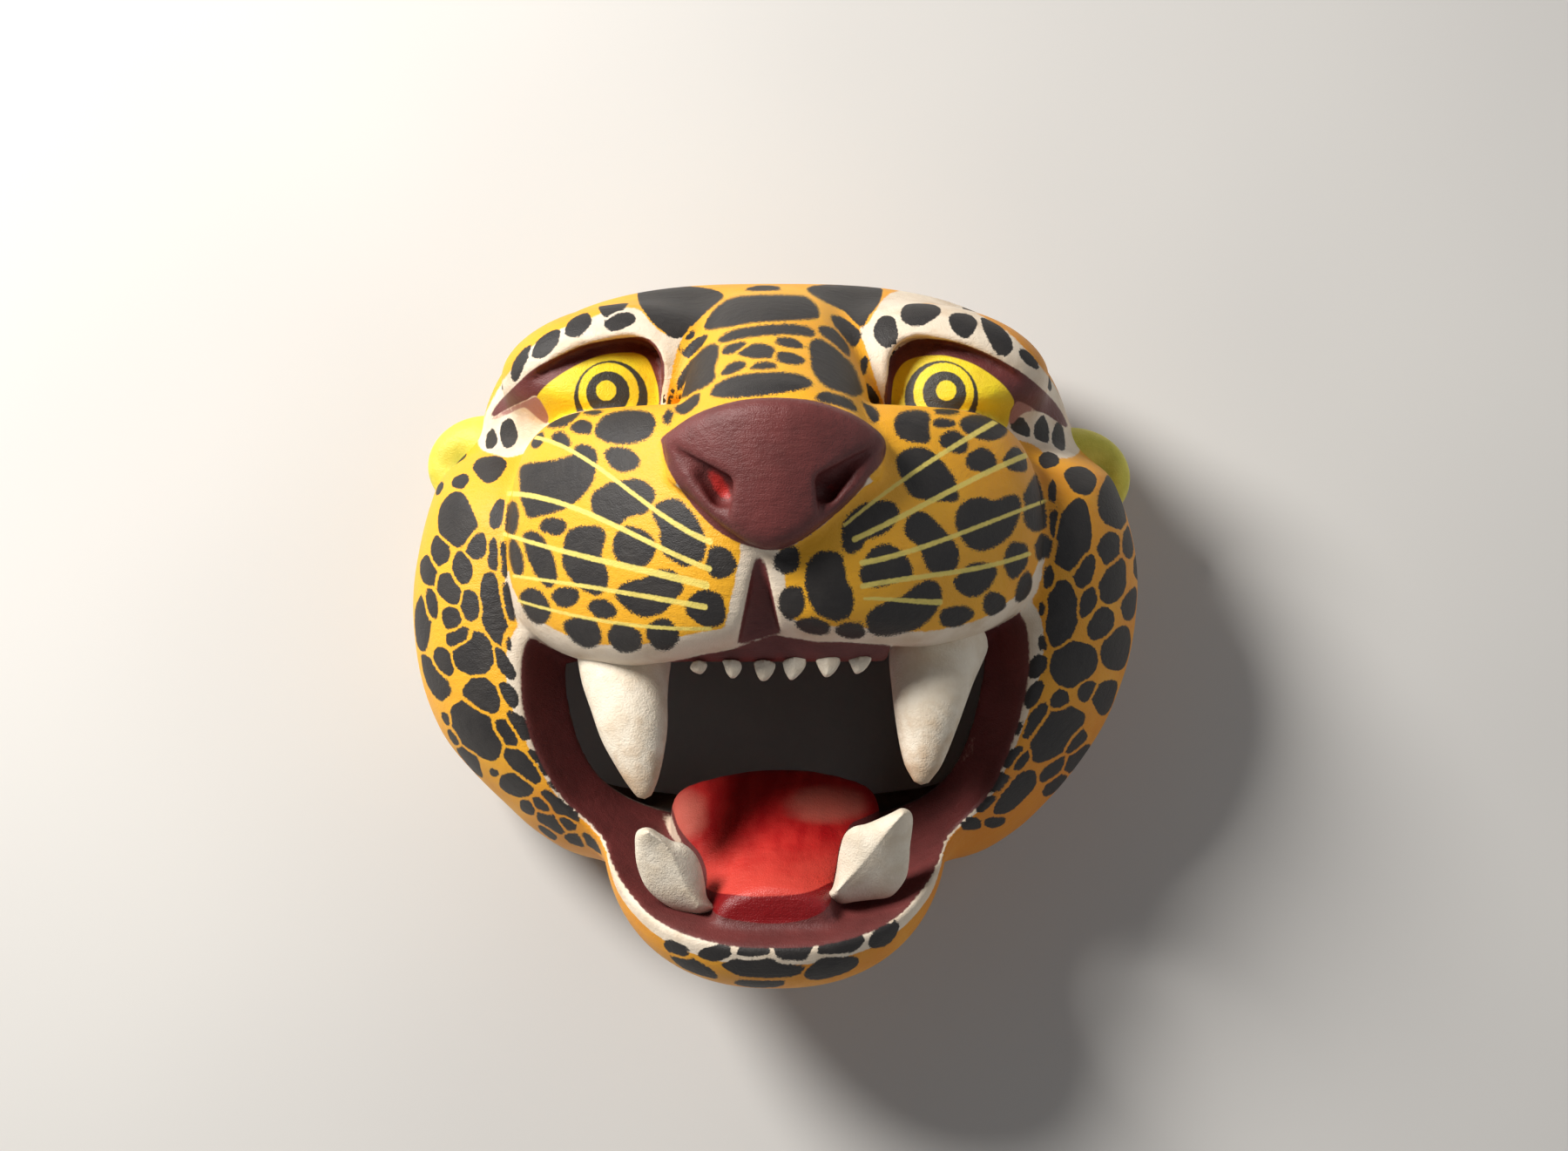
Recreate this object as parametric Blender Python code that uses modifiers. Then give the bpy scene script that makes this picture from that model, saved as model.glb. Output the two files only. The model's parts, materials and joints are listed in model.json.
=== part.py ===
"""A carved wooden tiger mask with a spotted coat and an open mouth, lying on its flat back rim.

Metres, +Z up. The face looks up, the crown is towards +Y and the mask's own left ear is towards +X.
The carving is drawn in its own face frame, looked at straight on (x across, y towards the crown,
z out of the face), in carving units: the widest part of the cheeks is WIDTH_UNITS of them apart.
"""

import math

import bmesh
import bpy
import numpy as np
import openvdb
from mathutils import Matrix, Vector

# Driving sizes, in metres
MASK_WIDTH = 0.301
WALL = 0.020
RIM_BACK = 0.072
UPPER_FANG_LENGTH = 0.056
UPPER_FANG_RADIUS = 0.0175
LOWER_FANG_LENGTH = 0.038
LOWER_FANG_RADIUS = 0.0155
FANG_TIP_RADIUS = 0.0045
PEG_DEPTH = 0.012
EAR_LENGTH = 0.025
EAR_HALF_HEIGHT = 0.021
EAR_HALF_THICKNESS = 0.013
EAR_SEAT_DEPTH = 0.008
FIT_GAP = 0.0003
INCISOR_LENGTH = 0.0085
INCISOR_WIDTH = 0.0078
CARVING_CELL = 0.003

# The face looks this far up from the line on which it is drawn, in radians
LEAN = math.radians(12)
# Shift that brings the middle of the mask's outline to the origin, in metres
MIDDLE_Y = 0.0209

WIDTH_UNITS = 301.0
UNIT = MASK_WIDTH / WIDTH_UNITS
HEAD_TRIANGLES = 7000
MERGE = 0.00001

# Half outlines seen from the front, in carving units, from the middle line outwards and back
CHEEK_OUTLINE = [
    (0, 54), (60, 54), (105, 55), (122, 52), (137, 43), (144, 29), (149, 9), (150.5, -7), (149.7, -22),
    (147.5, -36), (143.4, -50), (136.7, -65), (126.5, -79), (113.6, -93), (98, -107), (78, -117),
    (40, -122), (0, -124),
]
PAD_OUTLINE = [
    (0, 66), (45, 66), (72, 65), (86, 62), (95, 56), (101, 47), (105, 33), (106.5, 18), (106, 2),
    (103.5, -9.5), (99, -16), (91.5, -22), (83, -26.5), (71, -30), (57, -31.5), (38, -29.5), (26, -27.5),
    (16, -26.5), (8, -24.5), (0, -23),
]
MOUTH_OUTLINE = [
    (0, -14), (60, -14), (88, -15), (97, -19), (101, -27), (101.5, -44), (98.5, -66), (91, -88),
    (80, -105), (70, -117.5), (59, -129), (45, -137.5), (22, -141), (0, -141.5),
]
NOSE_OUTLINE = [
    (0, 65), (13, 64), (26, 60.5), (35, 56), (41, 50), (38, 41), (33, 33), (25, 24.5), (16, 17),
    (8, 12), (0, 10),
]
EYE_OUTLINE = [
    (45, 78), (45.5, 86), (49, 92), (56, 95), (66, 94), (78, 90.5), (90, 84.5), (99, 77.5), (107, 70),
    (110, 65), (105, 63.5), (99, 63), (92, 58), (84, 50), (60, 48), (47, 55), (45, 66),
]
CURVE_STEPS = 5
# How far out of the face the mouth outline is drawn at its corners, in carving units
LIP_DEPTH = 42

# Where the fangs leave the gum and where they point, in carving units
UPPER_FANGS = {"left": ((62, -27, 55), (56, -76, 70)), "right": ((-57, -31, 55), (-50.5, -84, 70))}
LOWER_FANGS = {"left": ((31, -122, 64), (50, -87, 80)), "right": ((-33, -126, 64), (-50, -97, 80))}
# Middle of each ear, in carving units
EARS = {"left": (124, 41, -24), "right": (-121, 46, -24)}
INCISORS = [-28.8, -16.2, -3.7, 7.6, 20.1, 32.4]
GUM_EDGE = -33

WOOD_YELLOW = (0.86, 0.42, 0.03, 1)
IVORY = (0.75, 0.66, 0.52, 1)
LEMON = (0.70, 0.62, 0.10, 1)


def blend_join(a, b, blend):
    """Both bodies together, with a fillet of about the blend's size."""
    share = np.clip(0.5 + 0.5 * (b - a) / blend, 0, 1)
    return b + (a - b) * share - blend * share * (1 - share)


def blend_cut(a, b, blend):
    return -blend_join(-a, b, blend)


def blend_both(a, b, blend):
    return -blend_join(-a, -b, blend)


def ramp(value, start, end):
    """0 before start, 1 after end, smooth between them."""
    t = np.clip((value - start) / (end - start), 0, 1)
    return t * t * (3 - 2 * t)


def between(a, b, share):
    return a + (b - a) * share


def ball(x, y, z, centre, radii, power=2.0):
    """Distance to an ellipsoid, or to a squarer one with a higher power."""
    q = [abs(v - c) / r for v, c, r in zip((x, y, z), centre, radii)]
    level = sum(v**power for v in q) ** (1 / power)
    if power > 2:
        return (level - 1) * min(radii)
    slope = np.sqrt(sum((v / r) ** 2 for v, r in zip(q, radii))) + 1e-6
    return level * (level - 1) / slope


def capsule(x, y, z, start, end, start_radius, end_radius):
    along = [e - s for s, e in zip(start, end)]
    offset = [v - s for v, s in zip((x, y, z), start)]
    share = sum(a * o for a, o in zip(along, offset)) / sum(a * a for a in along)
    share = np.clip(share, 0, 1)
    distance = np.sqrt(sum((o - a * share) ** 2 for a, o in zip(along, offset)))
    return distance - between(start_radius, end_radius, share)


def curve_through(points, mirrored=True):
    """A closed smooth curve through the points of an outline, or of a half outline and its mirror image."""
    loop = list(points)
    if mirrored:
        loop += [(-px, py) for px, py in reversed(points) if px > 0]
    loop = np.array(loop, float)
    before, after, beyond = np.roll(loop, 1, 0), np.roll(loop, -1, 0), np.roll(loop, -2, 0)
    rows = []
    for step in range(CURVE_STEPS):
        t = step / CURVE_STEPS
        bend = (2 * before - 5 * loop + 4 * after - beyond) * t**2
        twist = (-before + 3 * loop - 3 * after + beyond) * t**3
        rows.append(0.5 * (2 * loop + (after - before) * t + bend + twist))
    return np.stack(rows, 1).reshape(-1, 2)


def outline_distance(x, y, loop):
    """Signed distance to a closed outline in the x, y plane, negative inside."""
    x, y = np.broadcast_arrays(x, y)
    nearest = np.full(x.shape, np.inf)
    inside = np.zeros(x.shape, bool)
    for (ax, ay), (bx, by) in zip(loop, np.roll(loop, -1, 0)):
        ex, ey = bx - ax, by - ay
        share = np.clip(((x - ax) * ex + (y - ay) * ey) / (ex * ex + ey * ey), 0, 1)
        nearest = np.minimum(nearest, (x - ax - ex * share) ** 2 + (y - ay - ey * share) ** 2)
        if ay != by:
            level = (y >= min(ay, by)) & (y < max(ay, by))
            inside ^= level & (x < ax + (y - ay) * ex / ey)
    return np.where(inside, -1, 1) * np.sqrt(nearest)


def pillow(flat, z, middle, front, radius, back_in, back):
    """A flat outline given depth: upright sides at the middle depth, rounded over towards the front."""
    behind = np.maximum(middle - z, 0) / back
    side = np.maximum(1 + (flat + back_in * behind**2) / radius, 0)
    depth = np.maximum((z - middle) / front, 0)
    return (np.sqrt(side**2 + depth**2) - 1) * min(radius, front)


def muzzle_depth(x, y):
    return 116 - 0.0052 * x**2 - 0.0075 * (y - 16) ** 2 - 4 * np.exp(-((x / 13) ** 2))


def crown_outline(x, y):
    return (((x / 126) ** 2.8 + (abs(y - 33) / 90) ** 2.8) ** (1 / 2.8) - 1) * 90


def crown(x, y, z):
    return pillow(crown_outline(x, y), z, -28, 54, 50, 10, 45)


def brow(x, y, z):
    """The swelling over each eye, kept inside the outline of the crown."""
    return blend_both(ball(x, y, z, (62, 84, 14), (52, 27, 32)), crown_outline(x, y) + 1.5, 10)


def cheeks(x, y, z):
    return pillow(outline_distance(x, y, curve_through(CHEEK_OUTLINE)), z, -12, 53, 46, 14, 58)


def jaw(x, y, z):
    return ball(x, y + 96 - 0.46 * (22 - z), z, (0, 0, 18), (70, 57, 67), 2.3)


def bridge(x, y, z):
    """The long straight ridge that runs from the forehead down to the nose."""
    rise, out = y - 117, z - 25
    above = 0.883 * rise + 0.469 * out
    along = np.clip((0.883 * out - 0.469 * rise) / 115, -0.3, 1)
    side = x - between(27, 34, along) - 0.25 * np.maximum(-above, 0)
    body = blend_both(side, above + x**2 / 80, 12)
    for limit, blend in ((y - 118, 16), (z - 116, 8), (-above - 34, 8), (-z - 10, 8)):
        body = blend_both(body, limit, blend)
    return body


def pads(x, y, z):
    """Both whisker pads, hollowed a little from below behind the fangs."""
    slope = np.sqrt(1 + (0.0104 * x) ** 2 + (0.015 * (y - 14)) ** 2)
    front = (z - muzzle_depth(x, y)) / slope
    body = blend_both(outline_distance(x, y, curve_through(PAD_OUTLINE)), front, 14)
    body = blend_both(body, 2 - z, 4)
    roof = ball(x, y, z, (0, -44, 8), (78, 36, 52), 2.5)
    return blend_cut(body, roof, 6)


def nose(x, y, z):
    front = z - 132 + x**2 / 110 + 3.5 * ((y - 52) / 30) ** 2
    body = blend_both(outline_distance(x, y, curve_through(NOSE_OUTLINE)), front, 7)
    return blend_both(body, 80 - z, 4)


def nostril(x, y, z):
    """The recess under each wing of the nose, deepest at its inner upper corner, with a pit there."""
    under = 0.884 * (y - 36) - 0.467 * (x - 14.5)
    beside = -0.989 * (x - 14.5) - 0.145 * (y - 36)
    floor = 129.7 + 0.103 * x - 0.338 * y
    recess = blend_both(blend_both(under, beside, 3), floor - z, 2)
    pit = capsule(x, y, z, (25, 37, 120), (19, 31, 120), 3, 5)
    return blend_join(recess, pit, 3)


def philtrum(x, y, z):
    """The groove between the pads, a little to the right of the middle line of the face."""
    side = abs(x + 5.5) - 0.21 * np.maximum(8 - y, 0) - 1
    groove = blend_both(side, between(110, 90, ramp(y, 8, -24)) - z, 3)
    return blend_both(groove, y - 7, 3)


def gum(x, y, z):
    front = z - muzzle_depth(x, y) + 12
    body = blend_both(front, -22 - front, 4)
    for limit in (GUM_EDGE - y, x - 44, y):
        body = blend_both(body, limit, 4)
    return body


def tongue(x, y, z):
    floor = -94 - 0.576 * (z + 5)
    top = floor + 14 + 3 * ramp(z, 10, 60)
    half = between(43, 24.5, ramp(z, 0, 66))
    body = blend_both(y - top + 9 * (x / half) ** 2, x - half, 8)
    for limit, blend in ((z - 72, 3), (-8 - z, 6), (floor - 22 - y, 4)):
        body = blend_both(body, limit, blend)
    return body


def sag(x):
    """How much lower the pads and the mouth sit on the mask's own right than on its left."""
    return 0.085 * x / (1 + (x / 110) ** 2)


def mouth_gate(x, y, below):
    """The mouth's funnel, which narrows below the lips, and faster at its sides than at the chin."""
    steep = between(0.72, 0.576, ramp(y, -55, -95))
    funnel = steep * np.maximum(below, 0) + 0.576 * np.minimum(below, 0)
    return outline_distance(x, y, curve_through(MOUTH_OUTLINE)) + funnel


def head_field(x, y, z):
    """Distance to the carved head in carving units, negative in the wood."""
    across, straight = x, y
    hang = ramp(y, 55, -5) * (1 - ramp(y, -45, -100))
    y = y - sag(x) * hang
    x = abs(x)
    top = crown(x, y, z)
    sides = cheeks(x, y, z)
    below = jaw(x, y, z)
    crease = between(5, 34, ramp(z, 5, -60))
    shell = blend_join(blend_join(top, sides, crease), below, 12)
    outer = blend_join(blend_join(blend_join(top, brow(x, y, z), 12), sides, crease), below, 12)
    lip = between(LIP_DEPTH, 82, ramp(y, -88, -145))
    gate = mouth_gate(x, y, lip - z)
    head = blend_cut(outer, blend_both(gate, -60 - z, 6), 3)
    eyeball = ball(x, y, z, (76, 68, -6), (54, 44, 46))
    socket = outline_distance(x, y, curve_through(EYE_OUTLINE, mirrored=False))
    socket = blend_both(blend_both(socket, -eyeball, 2), 12 - z, 3)
    head = blend_cut(head, socket, 2)
    head = blend_join(head, bridge(x, y, z), 8)
    head = blend_join(head, pads(x, y, z), 3)
    hollow = ball(x, y, z, (0, 0, -75), (128, 108, 112), 3)
    head = blend_cut(head, blend_both(hollow, shell + WALL / UNIT, 12), 4)
    head = blend_join(head, nose(x, y, z), 3)
    head = blend_cut(head, philtrum(across, y, z), 3)
    head = blend_cut(head, nostril(x, y, z), 2)
    head = blend_join(head, gum(x, straight, z), 2)
    return blend_join(head, blend_both(tongue(x, y, z), below + 8, 6), 4)


FACE_TO_MASK = (
    Matrix.Translation((0, MIDDLE_Y, RIM_BACK)) @ Matrix.Rotation(LEAN, 4, "X") @ Matrix.Scale(UNIT, 4)
)


def in_mask(point):
    """A point of the face frame, given in carving units, as a place of the finished mask."""
    return FACE_TO_MASK @ Vector(point)


def collection(name):
    made = bpy.data.collections.new(name)
    bpy.context.scene.collection.children.link(made)
    return made


def paint(name, colour, roughness):
    material = bpy.data.materials.new(name)
    material.use_nodes = True
    shader = material.node_tree.nodes["Principled BSDF"]
    shader.inputs["Base Color"].default_value = colour
    shader.inputs["Roughness"].default_value = roughness
    shader.inputs["Metallic"].default_value = 0
    material.diffuse_color = colour
    return material


def show(name, mesh, into, material=None):
    body = bpy.data.objects.new(name, mesh)
    into.objects.link(body)
    if material:
        mesh.materials.append(material)
        mesh.shade_smooth()
    else:
        body.hide_render = True
        body.display_type = "WIRE"
    return body


def carved_mesh():
    """The head's field turned into a mesh, cell by cell."""
    cell = CARVING_CELL / UNIT
    low = np.array([-158.0, -184.0, -112.0])
    high = np.array([158.0, 130.0, 142.0])
    counts = np.ceil((high - low) / cell).astype(int) + 1
    x, y, z = (low[i] + cell * np.arange(counts[i]) for i in range(3))
    field = head_field(x[:, None, None], y[None, :, None], z[None, None, :])
    grid = openvdb.FloatGrid(100.0)
    grid.copyFromArray(np.array(field, np.float32))
    points, triangles, quads = grid.convertToPolygons(0.0, 0.0)
    mesh = bpy.data.meshes.new("head")
    mesh.from_pydata((points * cell + low).tolist(), [], quads.tolist() + triangles.tolist())
    mesh.transform(FACE_TO_MASK)
    return mesh


def boolean(body, other, operation):
    modifier = body.modifiers.new(other.name, "BOOLEAN")
    modifier.object = other
    modifier.operation = operation


def turned(name, profile, into, material=None):
    """A solid turned about Z. The profile runs from the upper end on the axis to the lower end on it."""
    mesh = bpy.data.meshes.new(name)
    edges = [(i, i + 1) for i in range(len(profile) - 1)]
    mesh.from_pydata([(radius, 0, height) for radius, height in profile], edges, [])
    body = show(name, mesh, into, material)
    screw = body.modifiers.new("turn", "SCREW")
    screw.steps = 12
    screw.render_steps = 12
    screw.use_merge_vertices = True
    screw.merge_threshold = MERGE
    screw.use_smooth_shade = True
    return body


def fang_profile(radius, length, grown):
    """A peg above the gum line at height 0 and a fat tooth below it, all sides grown by the given gap."""
    rows = [(0, PEG_DEPTH + grown), (0.55 * radius + grown, PEG_DEPTH + grown)]
    rows.append((0.8 * radius + grown, 0.5 * PEG_DEPTH))
    shaft = length - FANG_TIP_RADIUS
    for share in (0, 0.2, 0.4, 0.6, 0.8, 1):
        rows.append((FANG_TIP_RADIUS + (radius - FANG_TIP_RADIUS) * (1 - share**1.7) + grown, -shaft * share))
    rows.append((0.7 * (FANG_TIP_RADIUS + grown), -shaft - 0.7 * (FANG_TIP_RADIUS + grown)))
    rows.append((0, -length - grown))
    return rows


def set_fang(name, root, tip, radius, length, into, cutters, material):
    """A fang and the socket that its peg sits in."""
    place = in_mask(root)
    turn = (in_mask(tip) - place).to_track_quat("-Z", "Y").to_euler()
    fang = turned(name, fang_profile(radius, length, 0), into, material)
    socket = turned(name + "_socket", fang_profile(radius, length, FIT_GAP), cutters)
    for body in (fang, socket):
        body.location = place
        body.rotation_euler = turn
    return socket


def ear_mesh(name, side, grown):
    """A rounded tab, cut flat on the side that sits in the head."""
    reach, height, thickness = (size + grown for size in (EAR_LENGTH, EAR_HALF_HEIGHT, EAR_HALF_THICKNESS))
    shape = bmesh.new()
    bmesh.ops.create_uvsphere(shape, u_segments=18, v_segments=10, radius=1)
    bmesh.ops.scale(shape, vec=(reach, height, thickness), verts=shape.verts)
    everything = shape.verts[:] + shape.edges[:] + shape.faces[:]
    seat = Vector((-side * (EAR_SEAT_DEPTH + grown), 0, 0))
    cut = bmesh.ops.bisect_plane(
        shape, geom=everything, plane_co=seat, plane_no=(-side, 0, 0), clear_outer=True, dist=MERGE
    )
    rim = [piece for piece in cut["geom_cut"] if isinstance(piece, bmesh.types.BMEdge)]
    bmesh.ops.contextual_create(shape, geom=rim)
    bmesh.ops.recalc_face_normals(shape, faces=shape.faces)
    mesh = bpy.data.meshes.new(name)
    shape.to_mesh(mesh)
    shape.free()
    return mesh


def set_ear(name, centre, side, into, cutters, material):
    ear = show(name, ear_mesh(name, side, 0), into, material)
    pocket = show(name + "_pocket", ear_mesh(name + "_pocket", side, FIT_GAP), cutters)
    for body in (ear, pocket):
        body.location = in_mask(centre)
        body.rotation_euler.x = LEAN
    bpy.ops.mesh.primitive_uv_sphere_add(segments=16, ring_count=10, radius=EAR_LENGTH)
    dish = bpy.context.object
    dish.name = name + "_dish"
    offset = Vector((side * 0.45 * EAR_LENGTH, 0, EAR_HALF_THICKNESS + 0.8 * EAR_LENGTH))
    dish.location = ear.location + Matrix.Rotation(LEAN, 3, "X") @ offset
    dish.hide_render = True
    dish.display_type = "WIRE"
    bpy.context.collection.objects.unlink(dish)
    cutters.objects.link(dish)
    boolean(ear, dish, "DIFFERENCE")
    return pocket


def incisor_row(cutters):
    """The six small front teeth that are carved on the gum, as one set of wedges."""
    corners = []
    faces = []
    half = INCISOR_WIDTH / UNIT / 2
    drop = INCISOR_LENGTH / UNIT
    for centre in INCISORS:
        front = float(muzzle_depth(centre, GUM_EDGE)) - 12
        start = len(corners)
        # Three levels from the root down to the blunt point: height, half width, front and back depth
        levels = [(3.5, half, 1.2, -7), (-0.45 * drop, 0.92 * half, 1.4, -5), (-0.8 * drop, 0.4 * half, 0.2, -3.2)]
        for height, reach, ahead, behind in levels:
            for sx, sz in ((-1, ahead), (1, ahead), (1, behind), (-1, behind)):
                corners.append(in_mask((centre + sx * reach, GUM_EDGE + height, front + sz)))
        for lower in (4, 8):
            for i in range(4):
                j = (i + 1) % 4
                faces.append([start + v for v in (lower + i, lower + j, lower - 4 + j, lower - 4 + i)])
        faces.append([start + v for v in (0, 1, 2, 3)])
        faces.append([start + v for v in (11, 10, 9, 8)])
    mesh = bpy.data.meshes.new("incisors")
    mesh.from_pydata(corners, [], faces)
    return show("incisors", mesh, cutters)


def rim_saw(cutters):
    """A flat cut under the back rim, so that the mask lies on it."""
    bpy.ops.mesh.primitive_cube_add(size=2 * MASK_WIDTH, location=(0, 0, -MASK_WIDTH))
    saw = bpy.context.object
    saw.name = "rim_saw"
    saw.hide_render = True
    saw.display_type = "WIRE"
    bpy.context.collection.objects.unlink(saw)
    cutters.objects.link(saw)
    return saw


def build_mask():
    for old in list(bpy.data.objects):
        bpy.data.objects.remove(old)
    mask = collection("tiger_mask")
    cutters = collection("cutters")
    head = show("head", carved_mesh(), mask, paint("painted_wood", WOOD_YELLOW, 0.5))
    thin = head.modifiers.new("thin", "DECIMATE")
    thin.ratio = HEAD_TRIANGLES / (2 * len(head.data.polygons))
    boolean(head, rim_saw(cutters), "DIFFERENCE")
    boolean(head, incisor_row(cutters), "UNION")
    ivory = paint("cream_fangs", IVORY, 0.55)
    for side, (root, tip) in UPPER_FANGS.items():
        name = "upper_fang_" + side
        socket = set_fang(name, root, tip, UPPER_FANG_RADIUS, UPPER_FANG_LENGTH, mask, cutters, ivory)
        boolean(head, socket, "DIFFERENCE")
    for side, (root, tip) in LOWER_FANGS.items():
        name = "lower_fang_" + side
        socket = set_fang(name, root, tip, LOWER_FANG_RADIUS, LOWER_FANG_LENGTH, mask, cutters, ivory)
        boolean(head, socket, "DIFFERENCE")
    lemon = paint("lemon_ears", LEMON, 0.5)
    for side, centre in EARS.items():
        pocket = set_ear("ear_" + side, centre, 1 if side == "left" else -1, mask, cutters, lemon)
        boolean(head, pocket, "DIFFERENCE")


build_mask()
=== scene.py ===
"""The looks of the carved tiger mask: its carving, its paint, the light and the camera.

Metres, +Z up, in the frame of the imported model. The carving is drawn in the face frame of the CAD source:
x across, y towards the crown, z out of the face, in carving units. Places on the photograph are given as
(u, v) in its 1800 x 1321 frame.
"""

import functools
import json
import math

import bmesh
import bpy
import numpy as np
import openvdb
from mathutils import Matrix, Vector
from mathutils.bvhtree import BVHTree

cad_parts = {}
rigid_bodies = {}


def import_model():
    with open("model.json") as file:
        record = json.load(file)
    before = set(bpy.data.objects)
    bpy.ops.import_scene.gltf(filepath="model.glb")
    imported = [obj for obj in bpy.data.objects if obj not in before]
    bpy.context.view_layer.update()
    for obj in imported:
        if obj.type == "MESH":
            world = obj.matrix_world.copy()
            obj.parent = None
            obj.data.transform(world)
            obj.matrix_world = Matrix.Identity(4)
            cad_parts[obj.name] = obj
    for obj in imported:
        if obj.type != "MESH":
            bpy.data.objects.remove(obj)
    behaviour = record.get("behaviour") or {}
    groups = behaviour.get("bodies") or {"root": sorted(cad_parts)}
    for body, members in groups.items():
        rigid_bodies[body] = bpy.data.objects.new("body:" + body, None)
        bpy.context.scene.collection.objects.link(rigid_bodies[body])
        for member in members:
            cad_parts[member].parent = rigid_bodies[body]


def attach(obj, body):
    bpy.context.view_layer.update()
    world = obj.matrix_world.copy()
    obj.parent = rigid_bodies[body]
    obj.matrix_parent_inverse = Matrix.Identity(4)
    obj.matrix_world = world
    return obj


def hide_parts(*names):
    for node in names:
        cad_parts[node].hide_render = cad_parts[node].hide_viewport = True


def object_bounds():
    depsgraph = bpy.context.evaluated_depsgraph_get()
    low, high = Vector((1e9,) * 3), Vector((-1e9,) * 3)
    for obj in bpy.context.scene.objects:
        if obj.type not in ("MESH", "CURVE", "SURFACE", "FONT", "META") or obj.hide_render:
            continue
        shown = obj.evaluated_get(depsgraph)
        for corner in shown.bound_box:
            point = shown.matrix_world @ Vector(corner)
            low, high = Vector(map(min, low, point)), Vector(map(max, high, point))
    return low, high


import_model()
cad_box = [[float(value) for value in corner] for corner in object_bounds()]

# The same driving sizes as in the CAD source, in metres
MASK_WIDTH = 0.301
WALL = 0.020
RIM_BACK = 0.072
PEG_DEPTH = 0.012
# The face looks this far up from the line on which it is drawn, in radians
LEAN = math.radians(12)
# Shift that brings the middle of the mask's outline to the origin, in metres
MIDDLE_Y = 0.0209

WIDTH_UNITS = 301.0
UNIT = MASK_WIDTH / WIDTH_UNITS
# Half outlines seen from the front, in carving units, from the middle line outwards and back
CHEEK_OUTLINE = [
    (0, 54), (60, 54), (105, 55), (122, 52), (137, 43), (144, 29), (149, 9), (150.5, -7), (149.7, -22),
    (147.5, -36), (143.4, -50), (136.7, -65), (126.5, -79), (113.6, -93), (98, -107), (78, -117),
    (40, -122), (0, -124),
]
PAD_OUTLINE = [
    (0, 66), (45, 66), (72, 65), (86, 62), (95, 56), (101, 47), (105, 33), (106.5, 18), (106, 2),
    (103.5, -9.5), (99, -16), (91.5, -22), (83, -26.5), (71, -30), (57, -31.5), (38, -29.5), (26, -27.5),
    (16, -26.5), (8, -24.5), (0, -23),
]
MOUTH_OUTLINE = [
    (0, -14), (60, -14), (88, -15), (97, -19), (101, -27), (101.5, -44), (98.5, -66), (91, -88),
    (80, -105), (70, -117.5), (59, -129), (45, -137.5), (22, -141), (0, -141.5),
]
NOSE_OUTLINE = [
    (0, 65), (13, 64), (26, 60.5), (35, 56), (41, 50), (38, 41), (33, 33), (25, 24.5), (16, 17),
    (8, 12), (0, 10),
]
EYE_OUTLINE = [
    (45, 78), (45.5, 86), (49, 92), (56, 95), (66, 94), (78, 90.5), (90, 84.5), (99, 77.5), (107, 70),
    (110, 65), (105, 63.5), (99, 63), (92, 58), (84, 50), (60, 48), (47, 55), (45, 66),
]
CURVE_STEPS = 5
# How far out of the face the mouth outline is drawn at its corners and at the chin, in carving units
LIP_DEPTH = 42
CHIN_LIP_DEPTH = 82
# Middle of each ear, in carving units
EARS = {"left": (124, 41, -24), "right": (-121, 46, -24)}
GUM_EDGE = -33


def blend_join(a, b, blend):
    """Both bodies together, with a fillet of about the blend's size."""
    share = np.clip(0.5 + 0.5 * (b - a) / blend, 0, 1)
    return b + (a - b) * share - blend * share * (1 - share)


def blend_cut(a, b, blend):
    return -blend_join(-a, b, blend)


def blend_both(a, b, blend):
    return -blend_join(-a, -b, blend)


def within(*distances):
    """What lies inside every one of these, without a fillet."""
    return functools.reduce(np.maximum, distances)


def any_of(*distances):
    return functools.reduce(np.minimum, distances)


def ramp(value, start, end):
    """0 before start, 1 after end, smooth between them."""
    t = np.clip((value - start) / (end - start), 0, 1)
    return t * t * (3 - 2 * t)


def between(a, b, share):
    return a + (b - a) * share


def ball(x, y, z, centre, radii, power=2.0):
    """Distance to an ellipsoid, or to a squarer one with a higher power."""
    q = [abs(v - c) / r for v, c, r in zip((x, y, z), centre, radii)]
    level = sum(v**power for v in q) ** (1 / power)
    if power > 2:
        return (level - 1) * min(radii)
    slope = np.sqrt(sum((v / r) ** 2 for v, r in zip(q, radii))) + 1e-6
    return level * (level - 1) / slope


def capsule(x, y, z, start, end, start_radius, end_radius):
    along = [e - s for s, e in zip(start, end)]
    offset = [v - s for v, s in zip((x, y, z), start)]
    share = sum(a * o for a, o in zip(along, offset)) / sum(a * a for a in along)
    share = np.clip(share, 0, 1)
    distance = np.sqrt(sum((o - a * share) ** 2 for a, o in zip(along, offset)))
    return distance - between(start_radius, end_radius, share)


def curve_through(points, mirrored=True):
    """A closed smooth curve through the points of an outline, or of a half outline and its mirror image."""
    loop = list(points)
    if mirrored:
        loop += [(-px, py) for px, py in reversed(points) if px > 0]
    loop = np.array(loop, float)
    before, after, beyond = np.roll(loop, 1, 0), np.roll(loop, -1, 0), np.roll(loop, -2, 0)
    rows = []
    for step in range(CURVE_STEPS):
        t = step / CURVE_STEPS
        bend = (2 * before - 5 * loop + 4 * after - beyond) * t**2
        twist = (-before + 3 * loop - 3 * after + beyond) * t**3
        rows.append(0.5 * (2 * loop + (after - before) * t + bend + twist))
    return np.stack(rows, 1).reshape(-1, 2)


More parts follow.
